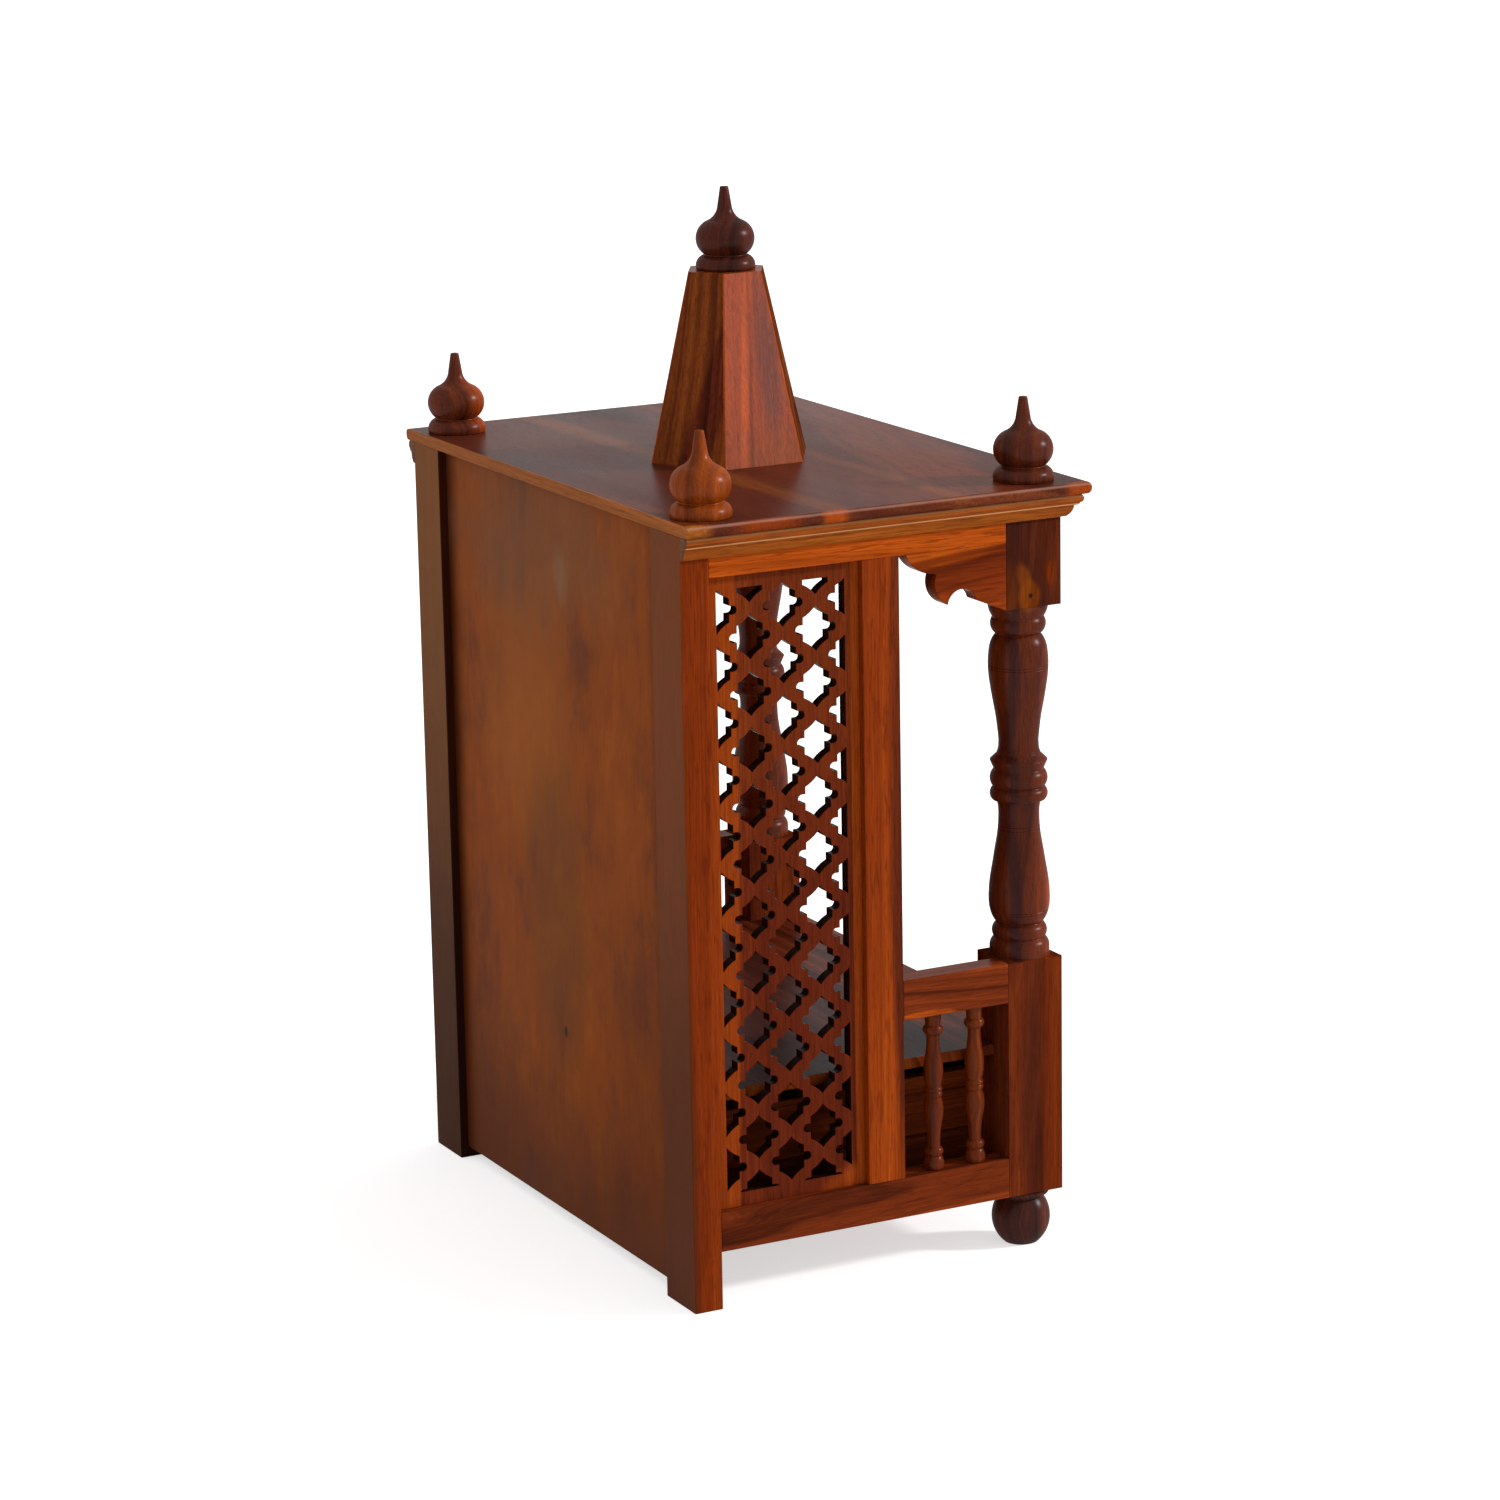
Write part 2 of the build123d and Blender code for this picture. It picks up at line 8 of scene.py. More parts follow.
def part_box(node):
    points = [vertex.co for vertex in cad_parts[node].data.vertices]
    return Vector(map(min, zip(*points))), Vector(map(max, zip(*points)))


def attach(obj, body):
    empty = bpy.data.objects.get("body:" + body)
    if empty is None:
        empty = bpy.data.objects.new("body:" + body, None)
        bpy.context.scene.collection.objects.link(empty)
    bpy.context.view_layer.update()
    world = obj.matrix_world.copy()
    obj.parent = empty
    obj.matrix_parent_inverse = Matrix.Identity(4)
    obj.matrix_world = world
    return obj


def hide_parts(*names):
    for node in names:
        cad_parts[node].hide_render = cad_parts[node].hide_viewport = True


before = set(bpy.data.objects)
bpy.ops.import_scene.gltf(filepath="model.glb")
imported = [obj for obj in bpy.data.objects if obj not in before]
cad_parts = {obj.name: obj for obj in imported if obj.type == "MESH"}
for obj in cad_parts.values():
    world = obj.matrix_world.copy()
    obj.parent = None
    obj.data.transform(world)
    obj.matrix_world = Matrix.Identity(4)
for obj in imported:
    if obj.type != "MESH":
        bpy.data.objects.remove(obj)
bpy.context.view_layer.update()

# A wooden home temple. Lengths are in metres. The front faces -Y, and -X is the left side.
cabinet, drawer = "cabinet", "drawer"
sides = {"left": -1, "right": 1}
print("frame loaded:", len(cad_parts), "nodes")


# Shader helpers

def addNode(tree, kind, sockets=None, **settings):
    made = tree.nodes.new(kind)
    for name, value in settings.items():
        setattr(made, name, value)
    for name, value in (sockets or {}).items():
        if isinstance(value, bpy.types.NodeSocket):
            tree.links.new(value, made.inputs[name])
        else:
            made.inputs[name].default_value = value
    return made


def mathNode(tree, operation, first, second=0.0, third=0.0):
    return addNode(tree, "ShaderNodeMath", {0: first, 1: second, 2: third}, operation=operation).outputs[0]


def vectorNode(tree, operation, first, second=(0, 0, 0)):
    made = addNode(tree, "ShaderNodeVectorMath", {0: first, 1: second}, operation=operation)
    return made.outputs["Value" if operation == "LENGTH" else "Vector"]


def rangeNode(tree, value, low, high, outLow=0.0, outHigh=1.0, smooth=True):
    sockets = {"Value": value, "From Min": low, "From Max": high, "To Min": outLow, "To Max": outHigh}
    kind = "SMOOTHSTEP" if smooth else "LINEAR"
    return addNode(tree, "ShaderNodeMapRange", sockets, interpolation_type=kind, clamp=True).outputs["Result"]


def mixColour(tree, factor, first, second, blend="MIX"):
    made = addNode(tree, "ShaderNodeMix", data_type="RGBA", blend_type=blend)
    for socket, value in ((made.inputs[0], factor), (made.inputs[6], first), (made.inputs[7], second)):
        if isinstance(value, bpy.types.NodeSocket):
            tree.links.new(value, socket)
        else:
            socket.default_value = value if isinstance(value, float) else (*value, 1.0)
    return made.outputs[2]


def noiseNode(tree, vector, scale, detail=2.0, roughness=0.5, output="Fac"):
    sockets = {"Vector": vector, "Scale": scale, "Detail": detail, "Roughness": roughness}
    return addNode(tree, "ShaderNodeTexNoise", sockets).outputs[output]


def lineNoise(tree, place, detail=2.0, roughness=0.5):
    sockets = {"W": place, "Scale": 1.0, "Detail": detail, "Roughness": roughness}
    return addNode(tree, "ShaderNodeTexNoise", sockets, noise_dimensions="1D").outputs["Fac"]


# Noise drawn out along the grain: scales is three numbers, for x, y and z
def grainNoise(tree, place, scales, detail, roughness):
    return noiseNode(tree, vectorNode(tree, "MULTIPLY", place, scales), 1.0, detail, roughness)


def newGroup(name, inputs, outputs):
    tree = bpy.data.node_groups.new(name, "ShaderNodeTree")
    for socket, (kind, value) in inputs.items():
        made = tree.interface.new_socket(socket, in_out="INPUT", socket_type=kind)
        if value is not None:
            made.default_value = value
    for socket, kind in outputs.items():
        tree.interface.new_socket(socket, in_out="OUTPUT", socket_type=kind)
    return tree, tree.nodes.new("NodeGroupInput").outputs, tree.nodes.new("NodeGroupOutput").inputs


number, vector, colour = "NodeSocketFloat", "NodeSocketVector", "NodeSocketColor"


# Figure of sawn timber: growth rings round a pith that runs along the local Z axis, thin dark
# veins, fibres, flecks and open pores. Scales are in cycles a metre, or a ring for broad and vein.
# Each noise is its scales, detail and roughness.
figureShape = {
    "wanderScale": 9.0, "shiverScale": 55.0, "shiverShare": 0.12, "wanderAlong": 0.22,
    "broadScale": 0.21, "broadShare": 0.75, "fineDetail": 4.0, "fineRoughness": 0.62, "fineShare": 0.62,
    "cloudScale": 14.0, "cloudDetail": 3.0, "cloudRoughness": 0.55, "cloudAlong": 0.3, "cloudShare": 0.4,
    "middle": 0.885,
    "darkRange": (0.3, 0.52), "lightRange": (0.5, 0.72),
    "veinScale": 0.55, "veinStart": 7.3, "veinLevel": 0.52, "veinWidth": 0.035, "veinDepth": 0.55,
    "strandNoise": ((620.0, 620.0, 16.0), 2.0, 0.6), "strandHeight": 0.35,
    "fleckNoise": ((270.0, 270.0, 30.0), 2.0, 0.6), "fleckRange": (0.54, 0.66), "fleckDepth": 0.6,
    "poreNoise": ((1150.0, 1150.0, 70.0), 1.0, 0.5), "poreRange": (0.6, 0.72), "poreDepth": 0.55,
    "poreHeight": -0.8,
    "roughness": 0.22, "roughClouds": 0.16, "roughPores": 0.1,
}


def makeTimberGroup(shape):
    inputs = {
        "Vector": (vector, None),
        "Lean": (vector, (0.0, 0.0, 0.0)),
        "Rings": (number, 150.0),
        "Warp": (number, 0.02),
        "Contrast": (number, 1.0),
        "Veins": (number, 0.6),
        "Flecks": (number, 0.5),
        "Dark": (colour, (0.05, 0.01, 0.004, 1.0)),
        "Mid": (colour, (0.16, 0.026, 0.006, 1.0)),
        "Light": (colour, (0.28, 0.05, 0.008, 1.0)),
    }
    outputs = {"Color": colour, "Roughness": number, "Height": number}
    tree, given, result = newGroup("timberFigure", inputs, outputs)
    place, dark = given["Vector"], given["Dark"]

    # Rings: distance from a pith that leans, wanders and shivers
    height = addNode(tree, "ShaderNodeSeparateXYZ", {0: place}).outputs[2]
    along = addNode(tree, "ShaderNodeCombineXYZ", {0: height, 1: height, 2: height}).outputs[0]
    leaning = vectorNode(tree, "ADD", place, vectorNode(tree, "MULTIPLY", along, given["Lean"]))
    slow = vectorNode(tree, "MULTIPLY", place, (1.0, 1.0, shape["wanderAlong"]))
    half = (0.5, 0.5, 0.5)
    wander = vectorNode(tree, "SUBTRACT", noiseNode(tree, slow, shape["wanderScale"], output="Color"), half)
    shiver = vectorNode(tree, "SUBTRACT", noiseNode(tree, slow, shape["shiverScale"], output="Color"), half)
    shiver = vectorNode(tree, "MULTIPLY", shiver, (shape["shiverShare"],) * 3)
    push = vectorNode(tree, "ADD", wander, shiver)
    warp = addNode(tree, "ShaderNodeCombineXYZ", {0: given["Warp"], 1: given["Warp"], 2: 0.0}).outputs[0]
    warped = vectorNode(tree, "ADD", leaning, vectorNode(tree, "MULTIPLY", push, warp))
    radius = vectorNode(tree, "LENGTH", vectorNode(tree, "MULTIPLY", warped, (1.0, 1.0, 0.0)))
    turns = mathNode(tree, "MULTIPLY", radius, given["Rings"])

    broad = lineNoise(tree, mathNode(tree, "MULTIPLY", turns, shape["broadScale"]), 1.0)
    fine = lineNoise(tree, turns, shape["fineDetail"], shape["fineRoughness"])
    cloud = vectorNode(tree, "MULTIPLY", place, (1.0, 1.0, shape["cloudAlong"]))
    cloud = noiseNode(tree, cloud, shape["cloudScale"], shape["cloudDetail"], shape["cloudRoughness"])
    figure = mathNode(tree, "MULTIPLY", fine, shape["fineShare"])
    figure = mathNode(tree, "MULTIPLY_ADD", broad, shape["broadShare"], figure)
    figure = mathNode(tree, "MULTIPLY_ADD", cloud, shape["cloudShare"], figure)
    figure = mathNode(tree, "SUBTRACT", figure, shape["middle"])
    figure = mathNode(tree, "MULTIPLY_ADD", figure, given["Contrast"], 0.5)
    shade = mixColour(tree, rangeNode(tree, figure, *shape["darkRange"]), dark, given["Mid"])
    shade = mixColour(tree, rangeNode(tree, figure, *shape["lightRange"]), shade, given["Light"])

    # Veins: where a slow noise over the rings crosses one level
    vein = lineNoise(tree, mathNode(tree, "MULTIPLY_ADD", turns, shape["veinScale"], shape["veinStart"]), 1.0)
    vein = mathNode(tree, "ABSOLUTE", mathNode(tree, "SUBTRACT", vein, shape["veinLevel"]))
    vein = rangeNode(tree, vein, 0.0, shape["veinWidth"], 1.0, 0.0)
    vein = mathNode(tree, "MULTIPLY", vein, given["Veins"])
    shade = mixColour(tree, vein, shade, mixColour(tree, shape["veinDepth"], shade, dark))

    # Fibres, flecks and pores, all drawn out along the grain
    strand = grainNoise(tree, place, *shape["strandNoise"])
    strandTone = mathNode(tree, "ADD", strand, 0.5)
    tone = addNode(tree, "ShaderNodeCombineXYZ", {0: strandTone, 1: strandTone, 2: strandTone}).outputs[0]
    shade = mixColour(tree, 1.0, shade, tone, "MULTIPLY")
    fleck = grainNoise(tree, place, *shape["fleckNoise"])
    fleck = mathNode(tree, "MULTIPLY", rangeNode(tree, fleck, *shape["fleckRange"]), given["Flecks"])
    shade = mixColour(tree, fleck, shade, mixColour(tree, shape["fleckDepth"], shade, dark))
    pore = grainNoise(tree, place, *shape["poreNoise"])
    pore = rangeNode(tree, pore, *shape["poreRange"])
    shade = mixColour(tree, mathNode(tree, "MULTIPLY", pore, shape["poreDepth"]), shade, dark)
    tree.links.new(shade, result["Color"])

    rough = mathNode(tree, "MULTIPLY_ADD", cloud, shape["roughClouds"], shape["roughness"])
    rough = mathNode(tree, "MULTIPLY_ADD", pore, shape["roughPores"], rough)
    tree.links.new(rough, result["Roughness"])
    relief = mathNode(tree, "MULTIPLY", pore, shape["poreHeight"])
    relief = mathNode(tree, "MULTIPLY_ADD", strand, shape["strandHeight"], relief)
    tree.links.new(relief, result["Height"])
    return tree


# A soft-edged patch of another tone: an ellipsoid with a wandering border
borderShape = {"detail": 3.0, "roughness": 0.55}


def makePatchGroup(shape):
    inputs = {
        "Vector": (vector, None),
        "Centre": (vector, (0.0, 0.0, 0.0)),
        "Turn": (vector, (0.0, 0.0, 0.0)),
        "Reach": (vector, (0.05, 0.05, 0.05)),
        "Soft": (number, 0.3),
        "Wobble": (number, 0.6),
        "Wobble Scale": (number, 18.0),
    }
    tree, given, result = newGroup("tonePatch", inputs, {"Mask": number})
    away = vectorNode(tree, "SUBTRACT", given["Vector"], given["Centre"])
    away = addNode(tree, "ShaderNodeVectorRotate", {"Vector": away, "Rotation": given["Turn"]},
                   rotation_type="EULER_XYZ").outputs[0]
    away = vectorNode(tree, "LENGTH", vectorNode(tree, "DIVIDE", away, given["Reach"]))
    noise = noiseNode(tree, given["Vector"], given["Wobble Scale"], shape["detail"], shape["roughness"])
    noise = mathNode(tree, "MULTIPLY", mathNode(tree, "SUBTRACT", noise, 0.5), given["Wobble"])
    away = mathNode(tree, "ADD", away, noise)
    inner = mathNode(tree, "SUBTRACT", 1.0, given["Soft"])
    outer = mathNode(tree, "ADD", 1.0, given["Soft"])
    tree.links.new(rangeNode(tree, away, inner, outer, 1.0, 0.0), result["Mask"])
    return tree


# Veneer of the plywood: broad upright clouds, fine fibres and slanting scuffs. The turn is in degrees.
veneerShape = {
    "bendScale": 5.0, "bendDetail": 3.0, "bend": 0.05,
    "cloudNoise": ((15.0, 15.0, 8.0), 5.0, 0.66), "bandNoise": ((60.0, 60.0, 5.0), 3.0, 0.6),
    "fibreNoise": ((520.0, 520.0, 22.0), 2.0, 0.6), "scuffNoise": ((260.0, 260.0, 5.0), 1.0, 0.5),
    "scuffTurn": 32.0,
    "scuffRange": (0.66, 0.76), "scuffClouds": (0.45, 0.6), "scuffDepth": 0.4, "scuffHeight": -0.4,
    "cloudShare": 0.84, "bandShare": 0.16, "darkRange": (0.3, 0.52), "lightRange": (0.5, 0.68),
    "fibreShare": 0.36, "fibreLow": 0.82, "roughness": 0.32, "roughClouds": 0.2,
}


def makePlyGroup(shape):
    inputs = {
        "Vector": (vector, None),
        "Dark": (colour, (0.1, 0.03, 0.01, 1.0)),
        "Mid": (colour, (0.24, 0.07, 0.02, 1.0)),
        "Light": (colour, (0.34, 0.1, 0.03, 1.0)),
    }
    outputs = {"Color": colour, "Roughness": number, "Height": number}
    tree, given, result = newGroup("plyFigure", inputs, outputs)
    base = given["Vector"]
    bend = noiseNode(tree, base, shape["bendScale"], shape["bendDetail"], output="Color")
    bend = vectorNode(tree, "SUBTRACT", bend, (0.5, 0.5, 0.5))
    bent = vectorNode(tree, "ADD", base, vectorNode(tree, "MULTIPLY", bend, (shape["bend"],) * 3))
    cloud = grainNoise(tree, bent, *shape["cloudNoise"])
    band = grainNoise(tree, bent, *shape["bandNoise"])
    fibre = grainNoise(tree, base, *shape["fibreNoise"])
    slant = {"Vector": base, "Angle": math.radians(shape["scuffTurn"])}
    scuff = addNode(tree, "ShaderNodeVectorRotate", slant, rotation_type="Y_AXIS").outputs[0]
    scuff = grainNoise(tree, scuff, *shape["scuffNoise"])
    scuff = mathNode(tree, "MULTIPLY", rangeNode(tree, scuff, *shape["scuffRange"]),
                     rangeNode(tree, cloud, *shape["scuffClouds"]))
    figure = mathNode(tree, "MULTIPLY", band, shape["bandShare"])
    figure = mathNode(tree, "MULTIPLY_ADD", cloud, shape["cloudShare"], figure)
    shade = mixColour(tree, rangeNode(tree, figure, *shape["darkRange"]), given["Dark"], given["Mid"])
    shade = mixColour(tree, rangeNode(tree, figure, *shape["lightRange"]), shade, given["Light"])
    fibreTone = mathNode(tree, "MULTIPLY_ADD", fibre, shape["fibreShare"], shape["fibreLow"])
    tone = addNode(tree, "ShaderNodeCombineXYZ", {0: fibreTone, 1: fibreTone, 2: fibreTone}).outputs[0]
    shade = mixColour(tree, 1.0, shade, tone, "MULTIPLY")
    shade = mixColour(tree, mathNode(tree, "MULTIPLY", scuff, shape["scuffDepth"]), shade, given["Light"])
    tree.links.new(shade, result["Color"])
    rough = mathNode(tree, "MULTIPLY_ADD", cloud, shape["roughClouds"], shape["roughness"])
    tree.links.new(rough, result["Roughness"])
    tree.links.new(mathNode(tree, "MULTIPLY_ADD", scuff, shape["scuffHeight"], fibre), result["Height"])
    return tree


timberGroup = makeTimberGroup(figureShape)
patchGroup = makePatchGroup(borderShape)
plyGroup = makePlyGroup(veneerShape)

# Tones of the timber, dark vein to light figure
tones = {
    "golden": ((0.19, 0.027, 0.003), (0.40, 0.068, 0.006), (0.56, 0.115, 0.010)),
    "orange": ((0.13, 0.019, 0.003), (0.29, 0.045, 0.005), (0.42, 0.075, 0.007)),
    "red": ((0.055, 0.009, 0.003), (0.165, 0.026, 0.006), (0.27, 0.047, 0.008)),
    "brown": ((0.035, 0.007, 0.003), (0.105, 0.019, 0.007), (0.19, 0.036, 0.009)),
    "plum": ((0.018, 0.006, 0.005), (0.062, 0.014, 0.009), (0.125, 0.026, 0.011)),
    "night": ((0.010, 0.004, 0.003), (0.028, 0.008, 0.005), (0.055, 0.013, 0.007)),
    "dusty": ((0.14, 0.048, 0.022), (0.23, 0.088, 0.042), (0.30, 0.12, 0.06)),
}
# These turn the grain, which the figure draws along Z, onto a board's own axis
grainTurns = {"x": (0.0, math.radians(-90), 0.0), "y": (math.radians(90), 0.0, 0.0), "z": (0.0, 0.0, 0.0)}

# What a look, a patch or an edge has unless it says otherwise. Sharp is in degrees. A patch or zone
# is centred on "at" with half sizes "reach", which runs right through a piece where it is 3 or 9.
plainFinish = {"gloss": 0.02, "coat": 0.0, "coatRoughness": 0.3, "bump": 0.25, "bumpDistance": 0.0003,
               "wallSlope": (0.2, 0.75)}
plainPatch = {"turn": (0.0, 0.0, 0.0), "soft": 0.3, "wobble": 0.6, "wobbleScale": 18.0, "strength": 1.0}
boardEdges = {"ease": 0.0008, "easeSteps": 2, "sharp": 35.0}
turnedEdges = {"ease": 0.0006, "easeSteps": 2, "sharp": 50.0}
patchSockets = {"Centre": "at", "Turn": "turn", "Reach": "reach", "Soft": "soft", "Wobble": "wobble",
                "Wobble Scale": "wobbleScale"}


def newMaterial(name, gloss):
    material = bpy.data.materials.new(name)
    material.use_nodes = True
    tree = material.node_tree
    shader = tree.nodes["Principled BSDF"]
    shader.inputs["Specular IOR Level"].default_value = gloss
    return material, tree, shader


def addPatches(tree, shade, place, patches):
    for patch in patches:
        patch = {**plainPatch, **patch}
        mask = addNode(tree, "ShaderNodeGroup", node_tree=patchGroup)
        tree.links.new(place, mask.inputs["Vector"])
        for socket, value in patchSockets.items():
            mask.inputs[socket].default_value = patch[value]
        factor = mathNode(tree, "MULTIPLY", mask.outputs["Mask"], patch["strength"])
        shade = mixColour(tree, factor, shade, patch["shade"])
    return shade


def timberNodes(tree, place, look):
    mapping = addNode(tree, "ShaderNodeMapping", {"Vector": place, "Rotation": grainTurns[look["grain"]]})
    mapping.inputs["Location"].default_value = look["pith"]
    group = addNode(tree, "ShaderNodeGroup", node_tree=timberGroup)
    tree.links.new(mapping.outputs[0], group.inputs["Vector"])
    group.inputs["Lean"].default_value = (*look.get("lean", (0.0, 0.0)), 0.0)
    tint = look.get("tint", (1.0, 1.0, 1.0))
    for socket, tone in zip(("Dark", "Mid", "Light"), tones[look["tone"]]):
        group.inputs[socket].default_value = (*(part * share for part, share in zip(tone, tint)), 1.0)
    for socket in ("Rings", "Warp", "Contrast", "Veins", "Flecks"):
        if socket.lower() in look:
            group.inputs[socket].default_value = look[socket.lower()]
    return group.outputs


def timberMaterial(name, look):
    look = {**plainFinish, **look}
    material, tree, shader = newMaterial(name, look["gloss"])
    place = addNode(tree, "ShaderNodeTexCoord").outputs["Object"]
    figure = timberNodes(tree, place, look)
    shade = figure["Color"]
    for zone in look.get("zones", []):
        other = timberNodes(tree, place, {**look, **zone["look"]})["Color"]
        shade = addPatches(tree, shade, place, [{**zone, "shade": other}])
    shade = addPatches(tree, shade, place, look.get("patches", []))
    if "paintedWallShade" in look:  # painted shade: the sides of the sawn holes are darkened nearly to black
        normal = addNode(tree, "ShaderNodeTexCoord").outputs["Normal"]
        sideways = mathNode(tree, "ABSOLUTE", addNode(tree, "ShaderNodeSeparateXYZ", {0: normal}).outputs[0])
        wallShade = rangeNode(tree, sideways, *look["wallSlope"], look["paintedWallShade"], 0.0)
        shade = mixColour(tree, wallShade, shade, tones["night"][0])
    tree.links.new(shade, shader.inputs["Base Color"])
    tree.links.new(figure["Roughness"], shader.inputs["Roughness"])
    shader.inputs["Coat Weight"].default_value = look["coat"]
    shader.inputs["Coat Roughness"].default_value = look["coatRoughness"]
    if "coatZone" in look:  # the polish covers only a part of the piece
        zone = {**look["coatZone"], "shade": (1.0, 1.0, 1.0), "strength": look["coat"]}
        tree.links.new(addPatches(tree, (0.0, 0.0, 0.0), place, [zone]), shader.inputs["Coat Weight"])
    addRelief(tree, shader, figure["Height"], look["bump"], look["bumpDistance"])
    return material


def addRelief(tree, shader, height, strength, distance):
    sockets = {"Height": height, "Strength": strength, "Distance": distance}
    tree.links.new(addNode(tree, "ShaderNodeBump", sockets).outputs[0], shader.inputs["Normal"])


# Mesh helpers. Lengths are in metres, angles in degrees.

meshCare = {"weld": 0.000004, "flatAngle": 0.4, "smoothAngle": 21.0, "snap": 0.000001}


def mergedCopy(node):
    bm = bmesh.new()
    bm.from_mesh(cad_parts[node].data)
    bmesh.ops.remove_doubles(bm, verts=bm.verts, dist=meshCare["weld"])
    flat = math.radians(meshCare["flatAngle"])
    bmesh.ops.dissolve_limit(bm, angle_limit=flat, verts=bm.verts, edges=bm.edges)
    return bm


def sharpEdges(bm, angle):
    limit = math.radians(angle)
    return [edge for edge in bm.edges if edge.is_manifold and edge.calc_face_angle(0.0) > limit]


def roundEdges(bm, edges, width, segments):
    return bmesh.ops.bevel(bm, geom=edges, offset=width, offset_type="OFFSET", segments=segments, profile=0.5,
                           affect="EDGES", clamp_overlap=True, material=-1)


def easedCopy(node, look, edges):
    edges = {**edges, **look}
    bm = mergedCopy(node)
    sharp = sharpEdges(bm, edges["sharp"])
    if sharp:
        roundEdges(bm, sharp, edges["ease"], edges["easeSteps"])
    return bm


def finishPiece(name, bm, materials, node, body):
    bmesh.ops.recalc_face_normals(bm, faces=bm.faces)
    mesh = bpy.data.meshes.new(name)
    bm.to_mesh(mesh)
    bm.free()
    if "custom_normal" in mesh.attributes:  # left over from the CAD mesh
        mesh.attributes.remove(mesh.attributes["custom_normal"])
    for material in materials:
        mesh.materials.append(material)
    mesh.shade_smooth()
    mesh.set_sharp_from_angle(angle=math.radians(meshCare["smoothAngle"]))
    piece = bpy.data.objects.new(name, mesh)
    bpy.context.scene.collection.objects.link(piece)
    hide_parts(node)
    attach(piece, body)
    return piece


def dressBoard(node, look, body=cabinet):
    bm = easedCopy(node, look, boardEdges)
    materials = [timberMaterial(f"{node}_finish", look)]
    return finishPiece(f"{node}_timber", bm, materials, node, body)


def dressTurned(node, look, body=cabinet, scribed=(), axis=None):
    bm = easedCopy(node, look, turnedEdges)
    for height in scribed:
        scribeRing(bm, height, look["scribeWidth"], look["scribeDepth"], axis)
    materials = [timberMaterial(f"{node}_finish", look)]
    return finishPiece(f"{node}_timber", bm, materials, node, body)


# A fine ring cut round a turned piece
def scribeRing(bm, height, width, depth, axis):
    snap = meshCare["snap"]
    for level in (height - width / 2, height, height + width / 2):
        bmesh.ops.bisect_plane(bm, geom=[*bm.verts, *bm.edges, *bm.faces], plane_co=(0, 0, level),
                               plane_no=(0, 0, 1), dist=snap)
    for vert in bm.verts:
        if abs(vert.co.z - height) < 2 * snap:
            out = Vector((vert.co.x - axis[0], vert.co.y - axis[1], 0))
            vert.co -= out.normalized() * depth


print("shader groups ready")

# Top board: planks along X with two pale sapwood streaks
topBoard = {
    "grain": "x", "tone": "plum", "pith": (0.03, -0.06, 0.2), "lean": (0.05, 0.02), "rings": 90.0,
    "warp": 0.05,
    "contrast": 0.6, "veins": 0.2, "tint": (1.3, 1.2, 1.0), "gloss": 0.014, "ease": 0.0005,
    "zones": [
        {"look": {"tone": "brown", "pith": (0.07, 0.1, 1.4)}, "at": (0.05, 0.13, 0.73),
         "reach": (0.5, 0.07, 0.1), "soft": 0.4, "wobble": 0.5, "strength": 0.2},
        {"look": {"tone": "brown", "pith": (0.05, -0.02, 3.1)}, "at": (-0.2, 0.0, 0.73),
         "reach": (0.3, 0.05, 0.1), "soft": 0.4, "wobble": 0.6, "strength": 0.5},
        {"look": {"tone": "orange", "contrast": 0.5, "tint": (0.75, 1.2, 2.0)}, "at": (0, 0.066, 0.73),
         "turn": (0, 0, -0.033), "reach": (3.0, 0.013, 0.1), "soft": 0.6, "wobble": 0.7, "wobbleScale": 9.0,
         "strength": 0.55},
        {"look": {"tone": "orange", "contrast": 0.5, "tint": (0.75, 1.2, 2.0)}, "at": (0, -0.058, 0.73),
         "turn": (0, 0, -0.033), "reach": (3.0, 0.009, 0.1), "soft": 0.6, "wobble": 0.8, "wobbleScale": 9.0,
         "strength": 0.4},
        {"look": {"tone": "dusty", "tint": (1.4, 1.02, 0.35)}, "at": (0, 0.2067, 0.72),
         "reach": (3.0, 0.0012, 0.1), "soft": 0.3, "wobble": 0.0},
        {"look": {"tone": "brown", "tint": (1.2, 1.6, 2.2)}, "at": (-0.3078, 0.0, 0.72),
         "reach": (0.002, 3.0, 0.1), "soft": 0.4, "wobble": 0.4, "strength": 0.45},
        {"look": {"tone": "golden", "tint": (0.8, 1.2, 2.0)}, "at": (-0.306, 0.204, 0.722),
         "reach": (0.008, 0.018, 0.1), "soft": 0.4, "wobble": 0.6, "strength": 0.8},
        {"look": {"tone": "orange"}, "at": (-0.3064, 0.13, 0.722), "reach": (0.004, 0.03, 0.1), "soft": 0.4,
         "wobble": 0.9, "strength": 0.6},
        {"look": {"tone": "golden"}, "at": (-0.306, 0.061, 0.722), "reach": (0.004, 0.012, 0.1), "soft": 0.4,
         "wobble": 0.9, "strength": 0.7},
        {"look": {"tone": "golden"}, "at": (-0.306, -0.205, 0.722), "reach": (0.008, 0.026, 0.1), "soft": 0.3,
         "wobble": 0.6, "strength": 0.6},
    ],
    "patches": [
        # Painted highlights: pale lines along the rounded left and front edges of the board.
        {"shade": (0.44, 0.22, 0.16), "at": (-0.3058, 0.0, 0.7282), "reach": (0.0016, 3.0, 0.0013),
         "soft": 0.6, "wobble": 0.7, "wobbleScale": 40.0, "strength": 0.6},
        {"shade": (0.3, 0.14, 0.08), "at": (0.0, -0.2286, 0.7282), "reach": (3.0, 0.0016, 0.0013),
         "soft": 0.6, "wobble": 0.7, "wobbleScale": 40.0, "strength": 0.5},
    ],
}
dressBoard("top_board", topBoard)

